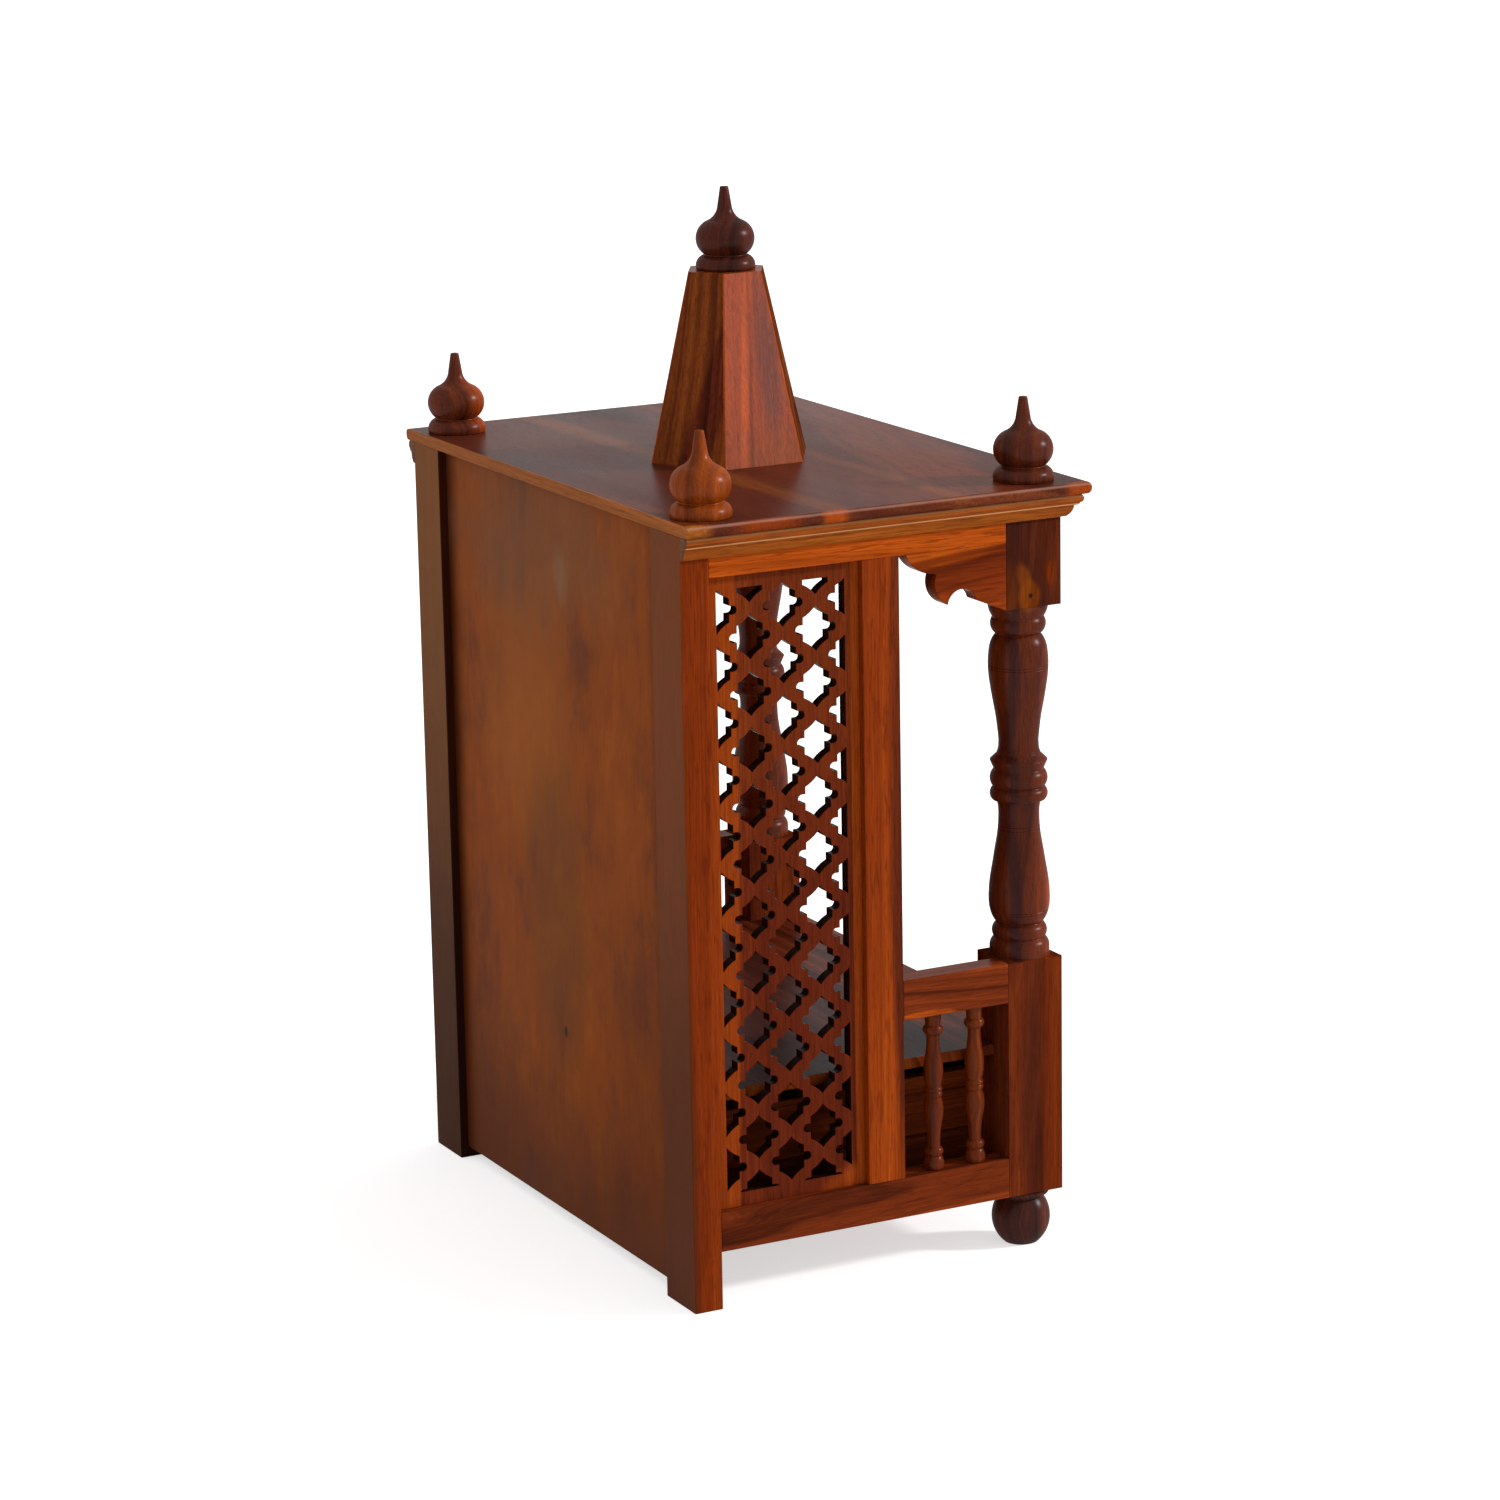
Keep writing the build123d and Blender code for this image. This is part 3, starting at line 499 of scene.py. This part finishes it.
# Mouldings under the board
mouldings = {"tone": "golden", "tint": (0.9, 1.2, 2.0), "rings": 130.0, "warp": 0.02, "contrast": 0.7,
             "veins": 0.3, "flecks": 0.7, "ease": 0.0003}
# Painted shade: the cove under the bead gets a darker orange than the rest of the moulding.
paintedCoveShade = {"look": {"tone": "orange", "tint": (1.0, 1.4, 1.6)}, "at": (0.0, 0.0, 0.7025),
             "reach": (9.0, 9.0, 0.0048), "soft": 0.25, "wobble": 0.3}
# Painted highlights: pale lines along the bead's crest and the fillet.
paintedHighlightLine = {"shade": (0.72, 0.38, 0.16), "wobble": 0.7, "wobbleScale": 60.0, "soft": 0.6}
paintedHighlightsAndShade = [
    {**paintedHighlightLine, "at": (0.0, 0.0, 0.7172), "reach": (9.0, 9.0, 0.0009), "strength": 0.5},
    {**paintedHighlightLine, "at": (0.0, 0.0, 0.7097), "reach": (9.0, 9.0, 0.0006), "strength": 0.75},
    # Painted shade on the rear end of each moulding.
    {"shade": (0.12, 0.05, 0.02), "at": (0.0, 0.2067, 0.71), "reach": (9.0, 0.0012, 9.0), "soft": 0.2,
     "wobble": 0.0, "strength": 0.9},
]
for side in sides:
    dressBoard(f"moulding_{side}", {**mouldings, "grain": "y", "pith": (0.02, 0.05, sides[side]),
                                    "zones": [paintedCoveShade], "patches": paintedHighlightsAndShade})
dressBoard("moulding_front", {**mouldings, "grain": "x", "pith": (0.05, 0.03, 0.7), "zones": [paintedCoveShade],
                              "patches": paintedHighlightsAndShade})

# Rails. Each has its own cut of the log.
rails = {
    "frieze_left": {"grain": "y", "tone": "golden", "pith": (0.09, -0.03, 0.4), "lean": (0.02, 0.04),
                    "rings": 300.0, "warp": 0.03, "contrast": 0.6, "veins": 0.3, "flecks": 1.0,
                    "tint": (1.15, 1.12, 0.95)},
    "frieze_right": {"grain": "y", "tone": "orange", "pith": (-0.06, 0.02, 1.4), "lean": (0.05, 0.06)},
    "frieze_front": {"grain": "x", "tone": "orange", "pith": (0.08, -0.04, 2.2), "lean": (0.04, 0.03)},
    "bottom_rail_left": {"grain": "y", "tone": "red", "pith": (0.01, 0.1, 0.15), "lean": (0.06, 0.08),
                         "rings": 230.0, "warp": 0.045, "contrast": 0.75, "veins": 0.5,
                         "tint": (1.06, 1.04, 1.0)},
    "bottom_rail_right": {"grain": "y", "tone": "red", "pith": (0.05, -0.03, 0.9), "lean": (0.1, 0.06)},
    "bottom_rail_front": {"grain": "x", "tone": "red", "pith": (0.03, 0.04, 1.9), "lean": (0.05, 0.1),
                          "contrast": 1.2},
    "upper_rail_left": {"grain": "y", "tone": "red", "pith": (-0.01, -0.2, 0.3), "lean": (0.05, 0.06),
                        "rings": 210.0, "warp": 0.03, "contrast": 1.0, "tint": (1.15, 1.15, 1.1),
                        "zones": [{"look": {"tone": "golden"}, "at": (-0.28, -0.035, 0.2445),
                                   "reach": (0.03, 0.035, 0.006), "soft": 0.2, "wobble": 0.3}]},
    "upper_rail_right": {"grain": "y", "tone": "red", "pith": (0.04, -0.2, 1.3), "lean": (0.2, 0.1)},
}
for node, look in rails.items():
    dressBoard(node, look)

# Posts and uprights
# Painted shade: the rear faces of the rear posts get a duller, greyer brown than their sides.
paintedRearShade = {"shade": (0.19, 0.07, 0.018), "at": (0.0, 0.2067, 0.4), "reach": (9.0, 0.0006, 9.0), "soft": 0.2,
            "wobble": 0.0, "strength": 0.45}
# Painted shade: the rear posts grow darker towards the foot.
paintedFootShade = {"shade": (0.04, 0.011, 0.007), "soft": 0.6, "wobble": 0.4, "strength": 0.8}
uprights = {
    "rear_post_left": {"grain": "z", "tone": "orange", "pith": (0.24, -0.17, 0.5), "lean": (0.02, 0.03),
                       "rings": 150.0, "contrast": 0.5, "veins": 0.2, "flecks": 0.7,
                       "tint": (0.74, 0.66, 0.82), "gloss": 0.012, "patches": [
                           {**paintedRearShade, "strength": 0.5},
                           {**paintedFootShade, "shade": (0.07, 0.016, 0.006), "at": (-0.26, 0.2067, 0.0),
                            "reach": (0.5, 0.006, 0.36), "strength": 0.62}]},
    "rear_post_right": {"grain": "z", "tone": "orange", "pith": (-0.24, -0.15, 1.5), "lean": (0.04, 0.02),
                        "contrast": 0.6, "tint": (0.8, 0.8, 0.8), "gloss": 0.006, "patches": [
                            {**paintedRearShade, "shade": (0.21, 0.1, 0.035), "strength": 0.65},
                            {**paintedFootShade, "at": (0.26, 0.19, -0.1), "reach": (0.5, 0.5, 0.46)},
                            # Painted shade: the inner face of the post beside the back panel is darkened.
                            {"shade": (0.02, 0.006, 0.004), "at": (0.23135, 0.19, 0.4),
                             "reach": (0.001, 9.0, 9.0), "soft": 0.1, "wobble": 0.0, "strength": 0.88}]},
    "mid_post_left": {"grain": "z", "tone": "orange", "pith": (0.31, 0.02, 0.2), "lean": (0.02, 0.01),
                      "rings": 170.0, "contrast": 0.55, "veins": 0.2, "flecks": 0.8,
                      "tint": (0.92, 0.85, 0.9), "zones": [
                          {"look": {"tone": "golden"}, "at": (-0.29, 0.006, 0.0), "reach": (0.1, 0.04, 0.3),
                           "soft": 0.4, "wobble": 0.3, "strength": 0.6},
                          {"look": {"tone": "brown"}, "at": (-0.288, -0.014, 0.46),
                           "reach": (0.1, 0.0135, 0.36), "soft": 0.22, "wobble": 0.35, "wobbleScale": 12.0,
                           "strength": 0.75},
                          {"look": {"tone": "brown"}, "at": (-0.288, -0.016, 0.33),
                           "reach": (0.1, 0.014, 0.16), "soft": 0.3, "wobble": 0.35, "strength": 0.7}]},
    "mid_post_right": {"grain": "z", "tone": "orange", "pith": (-0.31, 0.03, 1.2), "lean": (0.02, 0.02)},
}
for node, look in uprights.items():
    dressBoard(node, look)

# Pierced panels: red middle planks with paler sapwood along the edges
# The sides of the sawn holes get painted shade.
latticeLook = {"grain": "z", "tone": "red", "rings": 120.0, "warp": 0.03, "contrast": 0.45, "veins": 0.15,
               "ease": 0.0003, "easeSteps": 1, "paintedWallShade": 0.93}
for side, turn in sides.items():
    edgeZones = [
        {"look": {"tint": (0.72, 0.6, 0.85)}, "at": (0.0, 0.1, 0.24), "reach": (3.0, 0.3, 0.22), "soft": 0.5,
         "wobble": 0.6, "wobbleScale": 9.0, "strength": 0.85},
        {"look": {"tone": "orange"}, "at": (0.0, 0.178, 0.6), "reach": (3.0, 0.028, 0.9), "soft": 0.06,
         "wobble": 0.12, "wobbleScale": 6.0},
        {"look": {"tone": "orange"}, "at": (0.0, 0.022, 0.36), "reach": (3.0, 0.0125, 0.9), "soft": 0.06,
         "wobble": 0.12, "wobbleScale": 6.0},
        {"look": {"tone": "orange"}, "at": (0.0, 0.02, 0.085), "reach": (3.0, 0.05, 0.03), "soft": 0.2,
         "wobble": 0.5},
    ]
    dressBoard(f"lattice_{side}", {**latticeLook, "pith": (-turn * 0.31, -0.09, turn), "zones": edgeZones})

# Front posts: dark blocks with golden knots, turned shafts with scribed rings
polish = {"coat": 0.2, "gloss": 0.0}
frontPosts = {**polish, "grain": "z", "tone": "brown", "lean": (0.05, 0.03), "rings": 110.0, "warp": 0.03,
              "contrast": 0.7, "veins": 0.2, "tint": (1.0, 0.88, 0.65), "ease": 0.0008, "sharp": 62.0,
              "scribeWidth": 0.0012, "scribeDepth": 0.0004}
scribeHeights = (0.326, 0.3235, 0.4065, 0.403, 0.5585, 0.556)
for side, turn in sides.items():
    low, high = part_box(f"front_post_{side}")
    postX, postY = (low.x + high.x) / 2, (low.y + high.y) / 2
    zones = [
        {"look": {"tone": "plum", "tint": (0.7, 0.6, 0.8)}, "at": (turn * 0.2814, -0.1365, 0.45),
         "reach": (0.014, 0.0042, 0.6), "soft": 0.5, "wobble": 0.3, "wobbleScale": 9.0, "strength": 0.85},
        {"look": {"tone": "red", "tint": (0.75, 0.7, 0.75)}, "at": (turn * 0.274, -0.178, 0.45),
         "reach": (0.03, 0.018, 0.25), "soft": 0.5, "wobble": 0.5, "strength": 0.6},
        {"look": {"tone": "orange"}, "at": (turn * 0.272, -0.176, 0.342), "reach": (0.02, 0.012, 0.02),
         "soft": 0.6, "wobble": 0.5, "strength": 0.6},
        {"look": {"tone": "plum", "pith": (-turn * 0.3, 0.22, 4.0), "warp": 0.06, "contrast": 0.5,
                  "veins": 0.1, "tint": (0.95, 0.95, 0.9)},
         "at": (postX, postY, 0.68), "reach": (0.2, 0.2, 0.064), "soft": 0.02, "wobble": 0.0},
        {"look": {"tone": "brown", "tint": (1.1, 1.1, 1.0), "contrast": 0.6},
         "at": (turn * 0.29, -0.174, 0.68), "reach": (0.05, 0.018, 0.064), "soft": 0.4, "wobble": 0.4,
         "strength": 0.7},
        {"look": {"tone": "orange", "tint": (0.5, 0.6, 0.9), "contrast": 0.5},
         "at": (turn * 0.29, -0.127, 0.625), "reach": (0.03, 0.008, 0.03), "soft": 0.5, "wobble": 0.4,
         "strength": 0.5},
        {"look": {"tone": "golden", "pith": (-turn * 0.29, 0.15, 2.0), "tint": (0.62, 0.8, 0.9),
                  "contrast": 0.5},
         "at": (turn * 0.29, -0.148, 0.627), "reach": (0.03, 0.0115, 0.015), "soft": 0.25, "wobble": 0.3,
         "strength": 0.85},
        {"look": {"tone": "golden", "pith": (-turn * 0.29, 0.15, 2.0), "tint": (0.58, 0.75, 0.9),
                  "contrast": 0.5},
         "at": (turn * 0.29, -0.143, 0.644), "turn": (0.3, 0.0, 0.0), "reach": (0.03, 0.0065, 0.014),
         "soft": 0.4, "wobble": 0.3, "strength": 0.7},
        {"look": {"tone": "orange", "pith": (-turn * 0.29, 0.15, 2.0), "tint": (0.95, 1.0, 1.0)},
         "at": (turn * 0.29, -0.171, 0.647), "reach": (0.03, 0.0045, 0.011), "soft": 0.35, "wobble": 0.4,
         "strength": 0.95},
        {"look": {"tone": "brown", "pith": (-turn * 0.22, 0.1, 1.0), "lean": (0.03, 0.02),
                  "tint": (1.25, 1.15, 1.0), "contrast": 0.9},
         "at": (postX, postY, 0.16), "reach": (0.2, 0.2, 0.123), "soft": 0.01, "wobble": 0.0},
        {"look": {"tone": "plum", "tint": (0.8, 0.8, 0.8)}, "at": (turn * 0.29, -0.15, 0.15),
         "reach": (0.02, 0.011, 0.14), "soft": 0.5, "wobble": 0.6, "strength": 0.6},
        {"look": {"tone": "red"}, "at": (turn * 0.29, -0.17, 0.15), "reach": (0.02, 0.01, 0.14), "soft": 0.4,
         "wobble": 0.5, "strength": 0.6},
    ]
    knot = [{"shade": tones["night"][1], "at": (turn * 0.29, -0.1495, 0.6275), "reach": (0.02, 0.0022, 0.002),
             "soft": 0.5, "wobble": 0.3}]
    coatZone = {"at": (postX, postY, 0.4495), "reach": (0.5, 0.5, 0.1669), "soft": 0.002, "wobble": 0.0}
    look = {**frontPosts, "pith": (-turn * 0.27, 0.14, turn), "zones": zones, "patches": knot,
            "coatZone": coatZone}
    dressTurned(f"front_post_{side}", look, scribed=scribeHeights, axis=(postX, postY))
dressTurned("bun_feet", {**polish, "grain": "z", "tone": "plum", "pith": (0.26, 0.13, 0.3), "rings": 150.0,
                         "contrast": 1.1})

# Turned railings and finials
turned = {**polish, "grain": "z", "lean": (0.04, 0.03), "veins": 0.15, "contrast": 0.65}
balusters = {"tone": "orange", "rings": 200.0, "tint": (0.42, 0.38, 0.3), "contrast": 1.0}
turnedLooks = {
    "balusters_left": {**balusters, "pith": (0.29, 0.05, 0.2)},
    "balusters_right": {**balusters, "pith": (-0.29, 0.05, 0.5)},
    "finial_spire": {"tone": "plum", "pith": (0.06, 0.05, 0.7), "rings": 110.0, "tint": (1.3, 1.0, 0.8)},
    "finial_front_left": {"tone": "brown", "pith": (0.32, 0.23, 0.2), "rings": 110.0, "zones": [
        {"look": {"tone": "orange"}, "at": (-0.275, -0.19, 0.752), "reach": (0.018, 0.014, 0.014),
         "soft": 0.5, "wobble": 0.5, "strength": 0.8}]},
    "finial_front_right": {"tone": "brown", "pith": (-0.32, 0.23, 0.9), "rings": 110.0},
    "finial_rear_left": {"tone": "orange", "pith": (0.32, -0.1, 0.1), "rings": 120.0,
                         "tint": (0.95, 1.1, 0.9)},
    "finial_rear_right": {"tone": "brown", "pith": (-0.32, -0.1, 0.4), "rings": 110.0,
                          "tint": (1.2, 1.2, 1.2),
                          "zones": [{"look": {"tone": "orange"}, "at": (0.255, 0.145, 0.76),
                                     "reach": (0.05, 0.022, 0.04), "soft": 0.4, "wobble": 0.4}]},
}
for node, look in turnedLooks.items():
    dressTurned(node, {**turned, **look})

# Scalloped brackets: golden above, red-brown below
brackets = {"rings": 150.0, "warp": 0.05, "contrast": 0.7, "veins": 0.3, "flecks": 0.7, "ease": 0.0006}
for side, turn in sides.items():
    golden = [
        {"look": {"tone": "golden", "tint": (1.1, 1.15, 1.0)}, "at": (turn * 0.288, -0.075, 0.7),
         "turn": (0.17, 0.0, 0.0), "reach": (0.2, 0.11, 0.032), "soft": 0.16, "wobble": 0.25,
         "wobbleScale": 12.0},
        {"look": {"tone": "golden"}, "at": (turn * 0.288, -0.058, 0.628), "reach": (0.2, 0.006, 0.012),
         "soft": 0.5, "wobble": 0.4, "strength": 0.7},
    ]
    dressBoard(f"bracket_side_{side}", {**brackets, "grain": "y", "tone": "orange", "tint": (0.8, 0.72, 0.95),
                                        "pith": (0.62, -turn * 0.27, 0.2), "lean": (0.15, 0.0),
                                        "zones": golden})
    dressBoard(f"bracket_front_{side}", {**brackets, "grain": "x", "tone": "red", "pith": (0.66, 0.16, turn),
                                         "lean": (0.15, 0.0)})

# Spire: each board has its own timber, and the glued corners show as thin pale lines
spire = {"grain": "z", "rings": 150.0, "warp": 0.02, "contrast": 0.8, "veins": 0.4, "seam": 0.0009,
         "cornerAngle": 35.0, "cornerRise": 0.05}
spireBoards = [
    {"tone": "brown", "pith": (0.02, 0.05, 0.1)},
    {"tone": "red", "pith": (0.06, 0.06, 3.3)},
    {"tone": "orange", "pith": (0.1, -0.05, 0.9), "tint": (0.85, 1.2, 2.0), "lean": (-0.1, 0.0),
     "flecks": 0.8, "zones": [
         {"look": {"tone": "brown", "tint": (1.5, 1.3, 1.3)}, "at": (-0.0508, 0.04, 0.818),
          "turn": (0.0, 0.125, 0.0), "reach": (0.014, 0.2, 0.4), "soft": 0.25, "wobble": 0.3},
         {"look": {"tone": "golden"}, "at": (-0.071, 0.05, 0.735), "reach": (0.006, 0.05, 0.045), "soft": 0.4,
          "wobble": 0.4, "strength": 0.8}]},
    {"tone": "red", "pith": (0.1, 0.02, 1.9), "tint": (2.4, 2.3, 1.9), "contrast": 0.4, "gloss": 0.42,
     "lean": (0.0, 0.05), "zones": [
         {"look": {"tone": "golden"}, "at": (-0.06, 0.016, 0.82), "turn": (-0.14, 0.0, 0.0),
          "reach": (0.1, 0.004, 0.4), "soft": 0.5, "wobble": 0.5, "strength": 0.35},
         {"look": {"tone": "plum", "tint": (1.6, 2.6, 3.6)}, "at": (-0.06, -0.008, 0.82),
          "reach": (0.1, 0.012, 0.07), "soft": 0.6, "wobble": 0.5, "strength": 0.6},
         {"look": {"tone": "golden", "tint": (0.8, 1.0, 2.0)}, "at": (-0.07, -0.01, 0.73),
          "reach": (0.1, 0.05, 0.03), "soft": 0.7, "wobble": 0.5, "strength": 0.6}]},
    {"tone": "red", "pith": (0.03, 0.09, 2.7), "tint": (0.8, 1.2, 1.5), "gloss": 0.0},
    {"tone": "orange", "pith": (0.02, 0.1, 4.1)},
]


def makeSpire():
    bm = mergedCopy("spire_walls")
    corners = [edge for edge in sharpEdges(bm, spire["cornerAngle"])
               if abs(edge.verts[0].co.z - edge.verts[1].co.z) > spire["cornerRise"]]
    seams = set(roundEdges(bm, corners, spire["seam"], 1)["faces"])
    centreY = sum(vert.co.y for vert in bm.verts) / len(bm.verts)
    boards = len(spireBoards)
    wide = 360 / boards  # each board's share of the turn round the spire
    for face in bm.faces:
        middle = face.calc_center_median()
        turn = math.degrees(math.atan2(middle.y - centreY, middle.x)) % 360
        face.material_index = boards if face in seams else int((turn + wide / 2) % 360 // wide)
    materials = [timberMaterial(f"spire_board_{count}", {**spire, **look})
                 for count, look in enumerate(spireBoards)]
    materials.append(timberMaterial("spire_seam", {**spire, "tone": "golden", "pith": (0.1, 0.1, 0.1)}))
    finishPiece("spire_walls_timber", bm, materials, "spire_walls", cabinet)


makeSpire()
dressBoard("spire_cap", {"grain": "y", "tone": "brown", "pith": (0.9, 0.02, 0.4), "ease": 0.0004})

# Platform, runners and drawer
inner = {
    "platform": {"slot": "top_wood", "grain": "x", "tone": "plum", "pith": (0.17, -0.05, 0.3), "rings": 90.0,
                 "contrast": 0.8, "zones": [
                     {"look": {"tone": "golden", "tint": (0.6, 0.65, 1.0)}, "at": (-0.265, -0.05, 0.194),
                      "reach": (0.0016, 0.3, 0.02), "soft": 0.3, "wobble": 0.0},
                     {"look": {"tone": "brown", "tint": (1.3, 1.2, 1.0)}, "at": (0.0, -0.14, 0.199),
                      "reach": (9.0, 0.049, 0.02), "soft": 0.02, "wobble": 0.0}]},
    "runners": {"slot": "inner_wood", "grain": "y", "tone": "brown", "pith": (0.12, 0.2, 0.3)},
}
for node, look in inner.items():
    dressBoard(node, look)
drawerPieces = {
    "drawer_front": {"slot": "frame_wood", "grain": "x", "tone": "red", "pith": (0.1, 0.11, 0.5),
                     "lean": (0.06, 0.04), "contrast": 1.3, "ease": 0.0015, "easeSteps": 3},
    "drawer_side_left": {"slot": "inner_wood", "grain": "y", "tone": "red", "pith": (0.2, 0.12, 0.5)},
    "drawer_side_right": {"slot": "inner_wood", "grain": "y", "tone": "red", "pith": (-0.2, 0.12, 1.5)},
    "drawer_back": {"slot": "inner_wood", "grain": "x", "tone": "red", "pith": (0.1, 0.12, 2.5)},
}
for node, look in drawerPieces.items():
    dressBoard(node, look, drawer)
knobLook = {**polish, "grain": "y", "tone": "plum", "pith": (0.01, 0.14, 0.2), "rings": 160.0}
dressTurned("drawer_knob", knobLook, body=drawer)

# Plywood: the back of the temple, the floor panel and the drawer bottom
plyLook = {"dark": (0.15, 0.03, 0.004), "mid": (0.26, 0.055, 0.005), "light": (0.34, 0.08, 0.009),
           "shift": (0.3, 0.1, 0.2), "gloss": 0.014, "bump": 0.15, "ease": 0.0003, "easeSteps": 1}
# Marks on the back panel, among them painted shadows beside the rear posts.
backMarksAndShadows = [
    # Painted shadows down both edges, beside the rear posts.
    {"shade": (0.07, 0.02, 0.006), "at": (-0.234, 0.2, 0.36), "reach": (0.022, 0.1, 1.2), "soft": 0.7,
     "wobble": 0.3, "strength": 0.7},
    {"shade": (0.045, 0.01, 0.004), "at": (0.236, 0.2, 0.36), "reach": (0.022, 0.1, 1.2), "soft": 0.75,
     "wobble": 0.2, "strength": 0.9},
    # Darker towards the foot of the panel.
    {"shade": (0.09, 0.025, 0.01), "at": (0.0, 0.2, -0.02), "reach": (0.6, 0.1, 0.12), "soft": 0.7,
     "wobble": 0.4, "strength": 0.7},
    {"shade": (0.36, 0.11, 0.018), "at": (0.062, 0.2, 0.5), "reach": (0.09, 0.1, 0.11), "soft": 0.7,
     "wobble": 1.2, "wobbleScale": 12.0, "strength": 0.4},
    {"shade": (0.12, 0.045, 0.011), "at": (0.005, 0.2, 0.3), "reach": (0.055, 0.1, 0.15), "soft": 0.6,
     "wobble": 1.4, "wobbleScale": 12.0, "strength": 0.45},
    {"shade": (0.1, 0.022, 0.006), "at": (0.18, 0.2, 0.09), "reach": (0.08, 0.1, 0.12), "soft": 0.7,
     "wobble": 1.2, "wobbleScale": 12.0, "strength": 0.45},
    {"shade": (0.12, 0.026, 0.007), "at": (-0.18, 0.2, 0.17), "reach": (0.055, 0.1, 0.14), "soft": 0.7,
     "wobble": 1.2, "wobbleScale": 12.0, "strength": 0.5},
    {"shade": (0.36, 0.19, 0.1), "at": (-0.023, 0.2, 0.64), "reach": (0.014, 0.1, 0.022), "soft": 0.6,
     "wobble": 1.2, "wobbleScale": 40.0, "strength": 0.5},
    {"shade": (0.17, 0.075, 0.035), "at": (0.03, 0.2, 0.66), "reach": (0.16, 0.1, 0.07), "soft": 0.7,
     "wobble": 1.4, "wobbleScale": 14.0, "strength": 0.55},
    {"shade": (0.02, 0.01, 0.008), "at": (-0.0093, 0.2, 0.194), "reach": (0.0035, 0.1, 0.005), "soft": 0.5,
     "wobble": 0.6, "wobbleScale": 90.0, "strength": 0.9},
]


def plyMaterial(name, patches):
    material, tree, shader = newMaterial(name, plyLook["gloss"])
    place = addNode(tree, "ShaderNodeTexCoord").outputs["Object"]
    mapping = addNode(tree, "ShaderNodeMapping", {"Vector": place, "Location": plyLook["shift"]})
    group = addNode(tree, "ShaderNodeGroup", node_tree=plyGroup)
    tree.links.new(mapping.outputs[0], group.inputs["Vector"])
    for socket in ("Dark", "Mid", "Light"):
        group.inputs[socket].default_value = (*plyLook[socket.lower()], 1.0)
    tree.links.new(addPatches(tree, group.outputs["Color"], place, patches), shader.inputs["Base Color"])
    tree.links.new(group.outputs["Roughness"], shader.inputs["Roughness"])
    addRelief(tree, shader, group.outputs["Height"], plyLook["bump"], plainFinish["bumpDistance"])
    return material


sheets = {"back_panel": (backMarksAndShadows, cabinet), "floor_panel": ((), cabinet), "drawer_base": ((), drawer)}
for node, (marksAndShadows, body) in sheets.items():
    bm = easedCopy(node, plyLook, boardEdges)
    finishPiece(f"{node}_sheet", bm, [plyMaterial(f"{node}_finish", marksAndShadows)], node, body)
print("pieces dressed")

# Floor, light and camera. Angles are in degrees, the lens and its sensor in millimetres.
stage = {"size": 14.0, "floorShade": 0.86, "floorGlow": 0.6, "sky": 0.62, "sunStrength": 2.3,
         "sunSpread": 6.0, "sunFrom": (-0.40, -0.82, 0.42)}
lens = {"place": (-3.98685, 2.0375, 1.5198), "heading": -27.16, "pitch": -13.533, "roll": -1.05,
        "length": 115.31, "sensor": 36.0}


def cameraRays(tree):
    path = addNode(tree, "ShaderNodeLightPath").outputs
    seen = mathNode(tree, "MAXIMUM", path["Is Camera Ray"], path["Is Glossy Ray"])
    return mathNode(tree, "MAXIMUM", seen, path["Is Transmission Ray"])


def makeStage():
    bm = bmesh.new()
    bmesh.ops.create_grid(bm, x_segments=2, y_segments=2, size=stage["size"])
    mesh = bpy.data.meshes.new("floor")
    bm.to_mesh(mesh)
    bm.free()
    floor = bpy.data.objects.new("floor", mesh)
    bpy.context.scene.collection.objects.link(floor)
    material = bpy.data.materials.new("floorPaper")
    material.use_nodes = True
    tree = material.node_tree
    tree.nodes.remove(tree.nodes["Principled BSDF"])
    grey = stage["floorShade"]
    paper = addNode(tree, "ShaderNodeBsdfDiffuse", {"Color": (grey, grey, grey, 1.0)}).outputs[0]
    strength = mathNode(tree, "MULTIPLY", cameraRays(tree), stage["floorGlow"])
    white = (1.0, 1.0, 1.0, 1.0)
    glow = addNode(tree, "ShaderNodeEmission", {"Color": white, "Strength": strength}).outputs[0]
    both = addNode(tree, "ShaderNodeAddShader", {0: paper, 1: glow}).outputs[0]
    tree.links.new(both, tree.nodes["Material Output"].inputs["Surface"])
    mesh.materials.append(material)

    world = bpy.data.worlds.new("studio")
    world.use_nodes = True
    tree = world.node_tree
    background = tree.nodes["Background"]
    background.inputs["Color"].default_value = white
    strength = rangeNode(tree, cameraRays(tree), 0.0, 1.0, stage["sky"], 1.0, False)
    tree.links.new(strength, background.inputs["Strength"])
    bpy.context.scene.world = world

    sun = bpy.data.lights.new("window", "SUN")
    sun.energy = stage["sunStrength"]
    sun.angle = math.radians(stage["sunSpread"])
    lamp = bpy.data.objects.new("window", sun)
    lamp.rotation_mode = "QUATERNION"
    lamp.rotation_quaternion = Vector(stage["sunFrom"]).to_track_quat("Z", "Y")
    bpy.context.scene.collection.objects.link(lamp)


def makeCamera():
    data = bpy.data.cameras.new("camera")
    data.sensor_width = lens["sensor"]
    data.lens = lens["length"]
    camera = bpy.data.objects.new("camera", data)
    bpy.context.scene.collection.objects.link(camera)
    heading, pitch = math.radians(lens["heading"]), math.radians(lens["pitch"])
    level = math.cos(pitch)
    forward = Vector((level * math.cos(heading), level * math.sin(heading), math.sin(pitch)))
    camera.rotation_mode = "QUATERNION"
    roll = Quaternion((0, 0, 1), math.radians(lens["roll"]))
    camera.rotation_quaternion = forward.to_track_quat("-Z", "Y") @ roll
    camera.location = lens["place"]
    bpy.context.scene.camera = camera


makeStage()
makeCamera()
bpy.context.scene.view_settings.view_transform = "Standard"
print("stage and camera ready")
